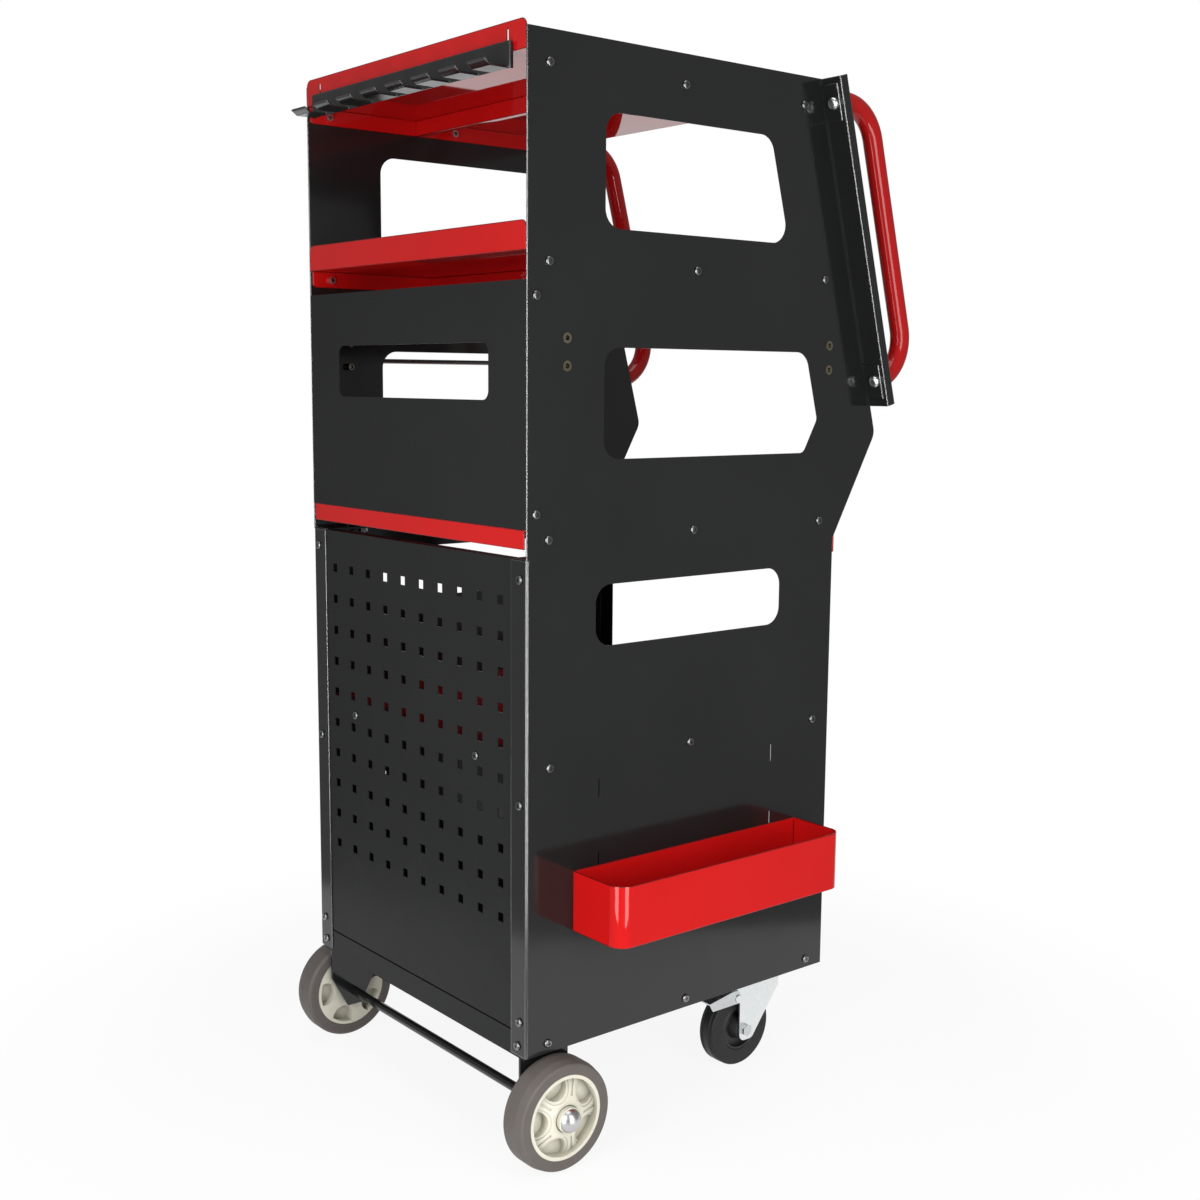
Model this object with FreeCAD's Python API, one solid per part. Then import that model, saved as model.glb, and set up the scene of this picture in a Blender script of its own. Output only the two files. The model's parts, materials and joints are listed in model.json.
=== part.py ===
import FreeCAD, Part
import math
import os

# Diagnostics trolley: a folded sheet-metal cabinet with an open upper rack, two rear wheels and two
# braked castors. Millimetres, +Z up, floor at Z = 0. The user stands at the front (-Y); the perforated
# rear panel faces +Y. Depths are measured forward from the rear face of the side panels.

V = FreeCAD.Vector

# Cabinet
SHEET = 1.2
FIT = 0.1
BEND = 2.5
CUT = 1.0
CABINET_WIDTH = 436.5
LOWER_DEPTH = 454.6
PANEL_BOTTOM = 128.0
LOWER_HEIGHT = 530.0
UPPER_HEIGHT = 520.0
FRONT_TOP_DEPTH = 413.2
KNEE_DEPTH = 522.4
KNEE_RISE = 120.5
KNEE_RADIUS = 18.0
EDGE_FOLD = 27.0
FOLD_RELIEF = 3.0

# Windows in the side panels
WINDOW_BACK = 99.5
WINDOW_FRONT_WALL = 96.0
WINDOW_RADIUS = 20.0
UPPER_WINDOW_RISE = 25.7
UPPER_WINDOW_HEIGHT = 115.0
MIDDLE_WINDOW_RISE = 69.0
MIDDLE_WINDOW_HEIGHT = 115.0
MIDDLE_WINDOW_KNEE = 38.5
LOWER_WINDOW_BACK = 90.5
LOWER_WINDOW_LENGTH = 275.0
LOWER_WINDOW_DROP = 97.0
LOWER_WINDOW_HEIGHT = 65.6

# Shelves: place of the top face of each, below the piece above or above the joint of the two units
TOP_TRAY_DROP = 20.7
MIDDLE_TRAY_DROP = 190.0
BOTTOM_SHELF_RISE = 31.0
MID_SHELF_DROP = 207.5
TOP_TRAY_OVERHANG = 0.8
SHELF_OVERHANG = 0.9
SHELF_FLANGE = 20.0
BASE_FLANGE = 24.0
BASE_REAR_FLANGE = 27.0
REAR_LIP = 28.0
FRONT_LIP = 12.0
LIP_RADIUS = 8.0
SCREW_DROP = 11.0
BASE_SCREW_DROP = 13.2
SCREW_INSET = 27.5
FLANGE_RADIUS = 5.0
STIFFENER_BACK = 57.0
STIFFENER_WIDTH = 14.0
STIFFENER_FOOT = 9.0

# Upper rear panel and its slot
REAR_PANEL_GAP = 9.7
REAR_PANEL_FLANGE = 22.0
REAR_PANEL_FOLD = 10.0
REAR_SCREW_DEPTH = 11.5
REAR_SCREW_INSET = 15.5
SLOT_LENGTH = 304.0
SLOT_HEIGHT = 58.5
SLOT_RISE = 129.5
SLOT_RADIUS = 10.0

# Perforated rear panel
PEG_HOLE = 10.0
PEG_PITCH = 38.0
PEG_COUNT = 10
PEG_TOP_DROP = 44.5
PEG_BOTTOM_GAP = 2.0
PEG_TOP_FOLD = 15.0
FLANGE_SCREW_INSET = 11.3
BASE_SCREW_INSET = 14.6
FLANGE_SCREW_RISES = (38.0, 274.0, 510.0)
SHELF_SCREW_SPACING = 252.0

# Red front rail of the lower unit
RAIL_THICK = 2.4
RAIL_HEIGHT = 21.5
RAIL_RISE = 2.5
RAIL_SCREW_INSET = 13.0

# Fasteners
SCREW_RADIUS = 2.5
SCREW_HEAD_RADIUS = 4.75
SCREW_HEAD_HEIGHT = 2.8
SCREW_RECESS = 1.2
SCREW_LENGTH = 7.5
NUT_FLATS = 8.0
NUT_THICK = 4.0
THREAD_GAP = 0.05
HOLE_GAP = 0.25
BOLT_RADIUS = 3.0
BOLT_HEAD_FLATS = 10.0
BOLT_HEAD_HEIGHT = 4.0
BOLT_NUT_THICK = 5.0
BOLT_TAIL = 1.0
HEAD_ROUND = 0.65
JOINT_BOLT_INSET = 15.0
JOINT_BOLT_MARGIN = 60.0

# Threaded inserts in the upper side panels
INSERT_DEPTHS = (50.5, 438.0)
INSERT_RISE = 195.5
INSERT_SPACING = 28.0
INSERT_BORE = 2.6
INSERT_BARREL = 3.9
INSERT_FLANGE = 5.5
INSERT_FLANGE_THICK = 0.8
INSERT_LENGTH = 9.0

# Hanging rod on the right side panel
ROD_RADIUS = 3.0
ROD_OUT = 24.0
ROD_RISE = 8.0
ROD_OVERHANG = 14.0
ROD_BRACKET_SHEET = 2.5
ROD_BRACKET_WIDTH = 20.0
ROD_BRACKET_MARGIN = 9.0
ROD_LUG_HEIGHT = 18.0
ROD_SCREW_LENGTH = 9.0
ROD_HOLE_GAP = 0.7

# Handles, along the slanted front edges
TAB_WIDTH = 24.5
TAB_START = 7.0
TAB_LENGTH = 41.0
CHANNEL_SHEET = 1.2
CHANNEL_SETBACK = 2.0
CHANNEL_GAP = 1.1
CHANNEL_START = 0.0
CHANNEL_SPARE = 59.5
CHANNEL_WIDTH = 29.5
CHANNEL_FLANGE = 11.9
HANDLE_BOLT_SPACING = 320.0
HANDLE_BOLT_START = 28.4
HANDLE_BOLT_OUT = 16.6
HANDLE_RADIUS = 11.4
HANDLE_WALL = 2.0
HANDLE_PLUG = 18.0
HANDLE_STANDOFF = 51.3
HANDLE_BEND = 50.0
HANDLE_BOLT_RADIUS = 4.0
HANDLE_HEAD_RADIUS = 7.0
HANDLE_HEAD_HEIGHT = 5.5
HANDLE_BOLT_LENGTH = 14.0

# Hook rail on the top tray's rear lip
HOOK_SHEET = 2.0
HOOK_COUNT = 8
HOOK_PITCH = 51.0
HOOK_WIDTH = 31.0
HOOK_MARGIN = 2.5
HOOK_PLATE_HEIGHT = 26.0
HOOK_STANDOFF = 2.9
HOOK_RETURN_GAP = 0.4
HOOK_RETURN_DROP = 3.0
HOOK_REACH = 21.5
HOOK_TIP = 9.0
HOOK_TIP_ANGLE = 36.5
HOOK_SLOT_INSET = 32.0
HOOK_SLOT_WIDTH = 3.0
HOOK_SLOT_LIFT = 4.7
HOOK_SLOT_LENGTH = 16.0
HOOK_HANGER_SHEET = 2.0
HANGER_SEAT = 0.1
HANGER_CLEAR = 0.4
HOOK_NECK = 3.9
HOOK_CATCH = 2.5

# Side tray on the left lower panel
SIDE_TRAY_BACK = 62.0
SIDE_TRAY_LENGTH = 337.0
SIDE_TRAY_OUT = 78.0
SIDE_TRAY_DROP = 61.0
SIDE_TRAY_HEIGHT = 66.5
SIDE_TRAY_RADIUS = 17.0
SIDE_TRAY_GAP = 0.3
TRAY_SLOT_WIDTH = 1.5
TRAY_HANGER_SHEET = 1.0
HANGER_SLOT_DEPTHS = (97.0, 357.5)
HANGER_SLOT_RISES = (189.5, 270.0)
HANGER_SLOT_LENGTH = 20.0
HANGER_NECK = 5.0
HANGER_CATCH = 7.0

# Rear wheels and axle
WHEEL_RADIUS = 61.0
WHEEL_WIDTH = 32.8
WHEEL_TUCK = 9.4
WHEEL_DEPTH = 36.3
TYRE_BORE_RADIUS = 46.8
TYRE_SHOULDER = 4.5
TYRE_CROWN = 11.0
TYRE_FALL = 2.5
TYRE_EDGE = 3.0
HUB_RIM = 4.0
HUB_BOSS = 17.0
HUB_WEB = 7.0
HUB_RIM_SETBACK = 0.5
HUB_DISH_DEPTH = 6.0
HUB_BOSS_RISE = 2.0
HUB_COLLAR_RADIUS = 14.0
HUB_COLLAR_LENGTH = 8.0
HUB_COLLAR_ROUND = 0.8
HUB_GROOVE_WIDTH = 1.0
HUB_GROOVE_DEPTH = 2.0
HUB_LEDGE_WIDTH = 3.0
HUB_LEDGE_DEPTH = 1.5
SPOKE_GROOVE_WIDTH = 2.6
SPOKE_GROOVE_DEPTH = 1.2
SPOKE_GROOVE_START = 24.0
HUB_TURN = -17.0
SPOKE_COUNT = 5
POCKET_RADIUS = 14.5
POCKET_CENTRE = 37.0
AXLE_RADIUS = 5.5
AXLE_RUN = 0.05
BUSH_RADIUS = 9.0
CAP_RADIUS = 13.0
CAP_HEIGHT = 9.0
CAP_GAP = 0.4
CAP_WALL = 1.0
SPACER_RADIUS = 9.0
BRACKET_SHEET = 3.0
BRACKET_INSET = 15.5
BRACKET_WIDTH = 30.0
BRACKET_DEPTH = 64.4
BRACKET_TIP = 9.5
BRACKET_TIP_DROP = 17.6
BRACKET_SHOULDER = 24.0
BRACKET_BOLT_SPACING = 34.0
BRACKET_NOTCH = 6.0

# Castors
CASTOR_INSET = 64.0
CASTOR_DEPTH = 402.5
CASTOR_TRAIL = 34.0
CASTOR_RADIUS = 48.0
CASTOR_WIDTH = 23.0
CASTOR_TYRE_BORE = 31.0
CASTOR_SHOULDER = 46.5
CASTOR_SHOULDER_ROUND = 2.0
CASTOR_RIB = 8.4
CASTOR_GROOVE = 2.0
CASTOR_GROOVE_WIDTH = 5.0
CASTOR_EDGE_ROUND = 0.8
CASTOR_HUB_WIDTH = 33.4
CASTOR_HUB_WEB = 10.0
CASTOR_BOSS = 12.0
CASTOR_BOSS_FLARE = 4.0
CASTOR_RIM = 6.0
CASTOR_RING = 28.2
CASTOR_RING_DEPTH = 1.5
CASTOR_RING_HALF = 1.0
CASTOR_HEIGHT = 125.0
PLATE_THICK = 3.0
PLATE_LENGTH = 92.0
PLATE_WIDTH = 68.0
PLATE_HOLE_LENGTH = 72.0
PLATE_HOLE_WIDTH = 48.0
RACE_RADIUS = 28.0
RACE_HEIGHT = 7.0
RACE_GAP = 0.5
CROWN_RADIUS = 31.0
FORK_SHEET = 2.5
FORK_GAP = 0.8
LEG_BACK = 9.0
LEG_AHEAD = 12.0
LEG_LOW = 14.0
LEG_TIP_ROUND = 9.0
LEG_FRONT = 23.0
LEG_FRONT_DROP = 22.0
LEG_REAR = 21.0
LEG_REAR_HEIGHT = 38.0
KINGPIN_RADIUS = 6.0
KINGPIN_HEAD = 10.0
CASTOR_BOLT_RADIUS = 4.0
CASTOR_HEAD_FLATS = 13.0
CASTOR_HEAD_HEIGHT = 5.3
SLEEVE_RADIUS = 6.0
MOUNT_SHEET = 3.0
MOUNT_LENGTH = 96.0
MOUNT_WIDTH = 76.0
MOUNT_LIP = 20.0

# Brake levers of the castors
BRAKE_PIVOT_BACK = 14.0
BRAKE_PIVOT_RISE = 43.5
BRAKE_RIVET = 3.0
BRAKE_RIVET_HEAD = 5.0
BRAKE_RIVET_HEAD_HEIGHT = 1.2
BRAKE_CHEEK_GAP = 0.3
BRAKE_SHEET = 2.0
BRAKE_LENGTH = 48.0
BRAKE_TOP = 11.0
BRAKE_TOP_FALL = 6.0
BRAKE_END_CUT = 6.0
BRAKE_CHEEK_DROP = 6.0
BRAKE_NOSE = 6.0
BRAKE_PLATE_CLEAR = 11.0
BRAKE_SHOE_LENGTH = 6.0
BRAKE_SHOE_HALF = 13.0
BRAKE_SHOE_BOTTOM = 1.5

# Worked out from the sizes above
HALF = CABINET_WIDTH / 2
INNER = HALF - SHEET
SHELF_HALF = INNER - FIT
JOINT_HEIGHT = PANEL_BOTTOM + LOWER_HEIGHT
PANEL_TOP = JOINT_HEIGHT + UPPER_HEIGHT
KNEE_HEIGHT = JOINT_HEIGHT + KNEE_RISE
TOP_TRAY_HEIGHT = PANEL_TOP - TOP_TRAY_DROP
MIDDLE_TRAY_HEIGHT = TOP_TRAY_HEIGHT - MIDDLE_TRAY_DROP
BOTTOM_SHELF_HEIGHT = JOINT_HEIGHT + BOTTOM_SHELF_RISE
MID_SHELF_HEIGHT = JOINT_HEIGHT - MID_SHELF_DROP
BASE_HEIGHT = PANEL_BOTTOM + BASE_FLANGE
TOP_TRAY_DEPTH = FRONT_TOP_DEPTH + TOP_TRAY_OVERHANG
RACK_SHELF_DEPTH = LOWER_DEPTH + SHELF_OVERHANG
UPPER_WINDOW_BOTTOM = MIDDLE_TRAY_HEIGHT + UPPER_WINDOW_RISE
MIDDLE_WINDOW_BOTTOM = BOTTOM_SHELF_HEIGHT + MIDDLE_WINDOW_RISE
LOWER_WINDOW_BOTTOM = JOINT_HEIGHT - LOWER_WINDOW_DROP
REAR_PANEL_TOP = MIDDLE_TRAY_HEIGHT - SHELF_FLANGE - REAR_PANEL_GAP
SLOT_BOTTOM = BOTTOM_SHELF_HEIGHT + SLOT_RISE
PEG_TOP_ROW = JOINT_HEIGHT - PEG_TOP_DROP
FLANGE_SCREW_HEIGHTS = [PANEL_BOTTOM + rise for rise in FLANGE_SCREW_RISES]
INSERT_BOTTOM = JOINT_HEIGHT + INSERT_RISE
ROD_HEIGHT = INSERT_BOTTOM + ROD_RISE
HANGER_SLOT_BOTTOMS = [PANEL_BOTTOM + rise for rise in HANGER_SLOT_RISES]
SIDE_TRAY_BOTTOM = HANGER_SLOT_BOTTOMS[0] - SIDE_TRAY_DROP
FRONT_SLOPE = (KNEE_DEPTH - FRONT_TOP_DEPTH) / (PANEL_TOP - KNEE_HEIGHT)
CHIN_SLOPE = (KNEE_DEPTH - LOWER_DEPTH) / (KNEE_HEIGHT - JOINT_HEIGHT)
SLANT = math.degrees(math.atan(FRONT_SLOPE))
WHEEL_FACE = HALF - WHEEL_TUCK + WHEEL_WIDTH
BASE_UNDERSIDE = BASE_HEIGHT - SHEET
PEG_BACK = SHEET + FIT
SHELF_BACK = PEG_BACK + SHEET + FIT
LOWER_FRONT = LOWER_DEPTH - SHEET - FIT
CASTOR_AXLE_DEPTH = CASTOR_DEPTH - CASTOR_TRAIL
FORK_INSIDE = CASTOR_HUB_WIDTH / 2 + FORK_GAP
FORK_OUTSIDE = FORK_INSIDE + FORK_SHEET
CROWN_TOP = CASTOR_HEIGHT - PLATE_THICK - RACE_HEIGHT - RACE_GAP
CHEEK_INSIDE = FORK_OUTSIDE + BRAKE_CHEEK_GAP
CHEEK_OUTSIDE = CHEEK_INSIDE + BRAKE_SHEET
HUB_FACE = WHEEL_FACE - HUB_RIM_SETBACK
HUB_END = HUB_FACE + HUB_COLLAR_LENGTH
HUB_BACK = HUB_FACE - WHEEL_WIDTH + 2 * HUB_RIM_SETBACK
HUB_INSIDE = TYRE_BORE_RADIUS - HUB_RIM
CAP_SEAT = HUB_END + CAP_GAP
CAP_TIP = CAP_SEAT + CAP_HEIGHT
HANDLE_X = HALF + HANDLE_BOLT_OUT
CHANNEL_LENGTH = HANDLE_BOLT_SPACING + CHANNEL_SPARE
TAB_BACK = -CHANNEL_SETBACK - FIT - SHEET
HANDLE_SEAT = CHANNEL_SHEET - CHANNEL_SETBACK
HOOK_OUT = HOOK_STANDOFF + HOOK_SHEET
HOOK_BOTTOM = TOP_TRAY_HEIGHT + HOOK_SLOT_LIFT + HANGER_SEAT + HOOK_NECK - HOOK_PLATE_HEIGHT


def box(x0, x1, d0, d1, z0, z1):
    """Block between two X, two depths and two heights."""
    return Part.makeBox(x1 - x0, d1 - d0, z1 - z0, V(x0, -d1, z0))


def fuse(shapes):
    """One clean solid from overlapping or touching shapes."""
    result = shapes[0]
    if len(shapes) > 1:
        result = shapes[0].multiFuse(shapes[1:])
    return result.removeSplitter()


def mirrored(shape):
    """The same piece on the other side of the trolley."""
    return shape.mirror(V(0, 0, 0), V(1, 0, 0))


def outline(points, place):
    """Closed wire through (a, b) or (a, b, radius) corners; place maps a, b to a point in space."""
    starts = []
    ends = []
    arcs = []
    count = len(points)
    for i, corner in enumerate(points):
        here = V(corner[0], corner[1], 0)
        radius = corner[2] if len(corner) > 2 else 0
        if radius == 0:
            starts.append(here)
            ends.append(here)
            arcs.append(None)
            continue
        before = points[i - 1]
        after = points[(i + 1) % count]
        back = (V(before[0], before[1], 0) - here).normalize()
        on = (V(after[0], after[1], 0) - here).normalize()
        half_turn = back.getAngle(on) / 2
        reach = radius / math.tan(half_turn)
        centre = here + (back + on).normalize() * (radius / math.sin(half_turn))
        starts.append(here + back * reach)
        ends.append(here + on * reach)
        arcs.append(centre + (here - centre).normalize() * radius)
    edges = []
    for i in range(count):
        if arcs[i] is not None:
            spots = [place(p.x, p.y) for p in (starts[i], arcs[i], ends[i])]
            edges.append(Part.Arc(*spots).toShape())
        follower = starts[(i + 1) % count]
        if (follower - ends[i]).Length > 1e-6:
            edges.append(Part.makeLine(place(ends[i].x, ends[i].y), place(follower.x, follower.y)))
    return Part.Wire(edges)


def prism_x(points, x0, x1):
    """Outline in depth and height, between two X."""
    wire = outline(points, lambda d, z: V(x0, -d, z))
    return Part.Face(wire).extrude(V(x1 - x0, 0, 0))


def prism_d(points, d0, d1):
    """Outline in X and height, between two depths."""
    wire = outline(points, lambda x, z: V(x, -d0, z))
    return Part.Face(wire).extrude(V(0, d0 - d1, 0))


def prism_z(points, z0, z1):
    """Outline in X and depth, between two heights."""
    wire = outline(points, lambda x, d: V(x, -d, z0))
    return Part.Face(wire).extrude(V(0, 0, z1 - z0))


def rect(a0, a1, b0, b1, radius=0):
    """Corners of a rectangle, rounded where a radius is given."""
    corners = ((a0, b0), (a1, b0), (a1, b1), (a0, b1))
    return [corner + (radius,) for corner in corners]


def rod(start, axis, radius, length):
    """Round bar from a point along an axis."""
    return Part.makeCylinder(radius, length, start, axis)


def hexagon(start, axis, flats, length):
    """Hexagonal bar from a point along an axis."""
    points = []
    for i in range(6):
        angle = math.radians(60 * i)
        points.append(V(flats / math.sqrt(3) * math.cos(angle), flats / math.sqrt(3) * math.sin(angle), 0))
    bar = Part.Face(Part.makePolygon(points + points[:1])).extrude(V(0, 0, length))
    bar.Placement = FreeCAD.Placement(start, FreeCAD.Rotation(V(0, 0, 1), axis))
    return bar


def revolved(profile, axis_point):
    """Solid of revolution about an X axis; profile holds (x, radius) or (x, radius, round) corners."""
    wire = outline(profile, lambda x, r: V(x, axis_point.y, axis_point.z + r))
    return Part.Face(wire).revolve(V(0, axis_point.y, axis_point.z), V(1, 0, 0), 360)


def slanted(shape):
    """Moves a shape from (x, out of the front edge, along the front edge) to its place on the slanted edge."""
    turn = FreeCAD.Rotation(V(1, 0, 0), 180 - SLANT)
    shape.Placement = FreeCAD.Placement(V(0, -FRONT_TOP_DEPTH, PANEL_TOP), turn).multiply(shape.Placement)
    return shape


def slant_box(x0, x1, out0, out1, along0, along1):
    """Block on the slanted front edge."""
    return slanted(Part.makeBox(x1 - x0, out1 - out0, along1 - along0, V(x0, out0, along0)))


def front_depth(height):
    """Depth of the upper side panel's front edge at a height above the knee."""
    return FRONT_TOP_DEPTH + (PANEL_TOP - height) * FRONT_SLOPE


def shelf_screw_depths(back, front):
    """Three screws along a shelf's side flange."""
    return [back + SCREW_INSET, (back + front) / 2, front - SCREW_INSET]


# Each shelf: top face, rear edge, front edge, side flange, screw drop, then how far the rear and the
# front edge stand up (or hang down, if negative)
SHELVES = {
    "top_tray": (TOP_TRAY_HEIGHT, 0.0, TOP_TRAY_DEPTH, SHELF_FLANGE, SCREW_DROP, REAR_LIP, FRONT_LIP),
    "middle_tray": (MIDDLE_TRAY_HEIGHT, 0.0, RACK_SHELF_DEPTH, SHELF_FLANGE, SCREW_DROP, REAR_LIP, FRONT_LIP),
    "bottom_shelf": (BOTTOM_SHELF_HEIGHT, 0.0, RACK_SHELF_DEPTH, SHELF_FLANGE, SCREW_DROP,
                     -SHELF_FLANGE, -SHELF_FLANGE),
    "mid_shelf": (MID_SHELF_HEIGHT, SHELF_BACK, LOWER_FRONT, SHELF_FLANGE, SCREW_DROP,
                  -SHELF_FLANGE, -SHELF_FLANGE),
    "base_pan": (BASE_HEIGHT, PEG_BACK, LOWER_FRONT, BASE_FLANGE, BASE_SCREW_DROP,
                 -BASE_REAR_FLANGE, -BASE_FLANGE),
}
UPPER_SHELVES = ("top_tray", "middle_tray", "bottom_shelf")
LOWER_SHELVES = ("mid_shelf", "base_pan")


def side_screws(shelf_names, side):
    """Places of the screws that hold shelves to a side panel, with their outward axis."""
    places = []
    for name in shelf_names:
        height, back, front, flange, drop = SHELVES[name][:5]
        for depth in shelf_screw_depths(back, front):
            places.append((V(side * HALF, -depth, height - drop), V(side, 0, 0)))
    return places


def rear_panel_screws(side):
    """Places of the screws through a side panel into the upper rear panel's flange."""
    bottom = BOTTOM_SHELF_HEIGHT + FIT
    heights = (bottom + REAR_SCREW_INSET, REAR_PANEL_TOP - REAR_SCREW_INSET)
    return [(V(side * HALF, -REAR_SCREW_DEPTH, z), V(side, 0, 0)) for z in heights]


def fold_screws(side):
    """Places of the screws through a lower panel's rear fold."""
    places = []
    for height in FLANGE_SCREW_HEIGHTS:
        places.append((V(side * (HALF - FLANGE_SCREW_INSET), 0, height), V(0, 1, 0)))
    places.append((V(side * (HALF - BASE_SCREW_INSET), 0, BASE_HEIGHT - BASE_SCREW_DROP), V(0, 1, 0)))
    return places


def rail_screws(side):
    """Place of the screw through the front rail and a lower panel's front fold."""
    height = JOINT_HEIGHT + RAIL_RISE - RAIL_HEIGHT / 2
    return [(V(side * (HALF - RAIL_SCREW_INSET), -(LOWER_DEPTH + RAIL_THICK), height), V(0, -1, 0))]


def peg_shelf_screws():
    """Places of the screws through the perforated panel into the middle shelf."""
    height = MID_SHELF_HEIGHT - SCREW_DROP
    return [(V(s * SHELF_SCREW_SPACING / 2, -PEG_BACK, height), V(0, 1, 0)) for s in (-1, 1)]


def all_screws():
    """Every pan-head screw of the sheet metal."""
    places = peg_shelf_screws()
    for side in (-1, 1):
        places += side_screws(UPPER_SHELVES + LOWER_SHELVES, side)
        places += rear_panel_screws(side) + fold_screws(side) + rail_screws(side)
    return places


def drilled(shape, places, radius, reach=20.0):
    """Shape with a hole through it at each place, along the place's axis."""
    drills = []
    for spot, axis in places:
        drills.append(rod(spot + axis * (reach / 2), axis * -1, radius, reach))
    return shape.cut(Part.makeCompound(drills))


def screw_layers(axis):
    """Thickness of the sheets under a screw head."""
    if axis.y < 0:
        return RAIL_THICK + SHEET
    return 2 * SHEET + FIT


def panel_screws():
    """Pan-head screws with a cross recess."""
    solids = []
    for spot, axis in all_screws():
        head = rod(spot, axis, SCREW_HEAD_RADIUS, SCREW_HEAD_HEIGHT)
        crown = head.Edges[0] if head.Edges[0].CenterOfMass.distanceToPoint(spot) > 1 else head.Edges[2]
        head = head.makeFillet(SCREW_HEAD_HEIGHT * HEAD_ROUND, [crown])
        shank = rod(spot, axis * -1, SCREW_RADIUS, SCREW_LENGTH)
        screw = fuse([head, shank])
        solids.append(screw.cut(cross_recess(spot + axis * SCREW_HEAD_HEIGHT, axis)))
    return Part.makeCompound(solids)


def cross_recess(spot, axis):
    """Cross-shaped driver recess, sunk from a screw head's top."""
    bars = []
    for turn in (0, 90):
        bar = Part.makeBox(SCREW_HEAD_RADIUS, SCREW_RECESS, 2 * SCREW_RECESS,
                           V(-SCREW_HEAD_RADIUS / 2, -SCREW_RECESS / 2, -SCREW_RECESS))
        bar.rotate(V(0, 0, 0), V(0, 0, 1), turn)
        bars.append(bar)
    cross = fuse(bars)
    cross.Placement = FreeCAD.Placement(spot, FreeCAD.Rotation(V(0, 0, 1), axis))
    return cross


def panel_nuts():
    """Hexagon nuts behind the screws."""
    solids = []
    for spot, axis in all_screws():
        seat = spot - axis * screw_layers(axis)
        nut = hexagon(seat, axis * -1, NUT_FLATS, NUT_THICK)
        solids.append(nut.cut(rod(seat, axis * -1, SCREW_RADIUS + THREAD_GAP, NUT_THICK)))
    return Part.makeCompound(solids)


def joint_bolt_places(side):
    """Bolts between the upper and lower side panels' folds."""
    spread = LOWER_DEPTH - 2 * JOINT_BOLT_MARGIN
    depths = [JOINT_BOLT_MARGIN + spread * i / 2 for i in range(3)]
    return [(V(side * (HALF - JOINT_BOLT_INSET), -d, JOINT_HEIGHT + SHEET), V(0, 0, 1)) for d in depths]


def bolts(places, layers):
    """Hexagon bolts with their heads on the axis side, long enough for a nut under the layers."""
    solids = []
    for spot, axis in places:
        head = hexagon(spot, axis, BOLT_HEAD_FLATS, BOLT_HEAD_HEIGHT)
        shank = rod(spot, axis * -1, BOLT_RADIUS, layers + BOLT_NUT_THICK + BOLT_TAIL)
        solids.append(fuse([head, shank]))
    return Part.makeCompound(solids)


def bolt_nuts(places, layers):
    """Nuts of those bolts."""
    solids = []
    for spot, axis in places:
        seat = spot - axis * layers
        nut = hexagon(seat, axis * -1, BOLT_HEAD_FLATS, BOLT_NUT_THICK)
        solids.append(nut.cut(rod(seat, axis * -1, BOLT_RADIUS + THREAD_GAP, BOLT_NUT_THICK)))
    return Part.makeCompound(solids)


def upper_window():
    """Window behind the top tray, its front edge parallel to the panel's."""
    bottom = UPPER_WINDOW_BOTTOM
    top = bottom + UPPER_WINDOW_HEIGHT
    return [(WINDOW_BACK, bottom, WINDOW_RADIUS),
            (front_depth(bottom) - WINDOW_FRONT_WALL, bottom, WINDOW_RADIUS),
            (front_depth(top) - WINDOW_FRONT_WALL, top, WINDOW_RADIUS),
            (WINDOW_BACK, top, WINDOW_RADIUS)]


def middle_window():
    """Window above the bottom shelf, with a knee like the panel's own."""
    bottom = MIDDLE_WINDOW_BOTTOM
    top = bottom + MIDDLE_WINDOW_HEIGHT
    knee = bottom + MIDDLE_WINDOW_KNEE
    knee_depth = front_depth(knee) - WINDOW_FRONT_WALL
    return [(WINDOW_BACK, bottom, WINDOW_RADIUS),
            (knee_depth - MIDDLE_WINDOW_KNEE * CHIN_SLOPE, bottom, WINDOW_RADIUS / 2),
            (knee_depth, knee, WINDOW_RADIUS / 2),
            (front_depth(top) - WINDOW_FRONT_WALL, top, WINDOW_RADIUS),
            (WINDOW_BACK, top, WINDOW_RADIUS)]


def insert_places(side):
    """Threaded inserts of an upper side panel."""
    heights = (INSERT_BOTTOM, INSERT_BOTTOM + INSERT_SPACING)
    return [(V(side * HALF, -d, z), V(side, 0, 0)) for d in INSERT_DEPTHS for z in heights]


def handle_bolt_places():
    """Handle bolts of the left side, in the slanted edge's own axes."""
    alongs = (HANDLE_BOLT_START, HANDLE_BOLT_START + HANDLE_BOLT_SPACING)
    return [V(-HANDLE_X, 0, along) for along in alongs]


def handle_drills(radius, depth):
    """Holes for the handle bolts, from the tabs forward."""
    drills = [rod(spot - V(0, depth, 0), V(0, 1, 0), radius, 2 * depth) for spot in handle_bolt_places()]
    return slanted(Part.makeCompound(drills))


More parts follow.
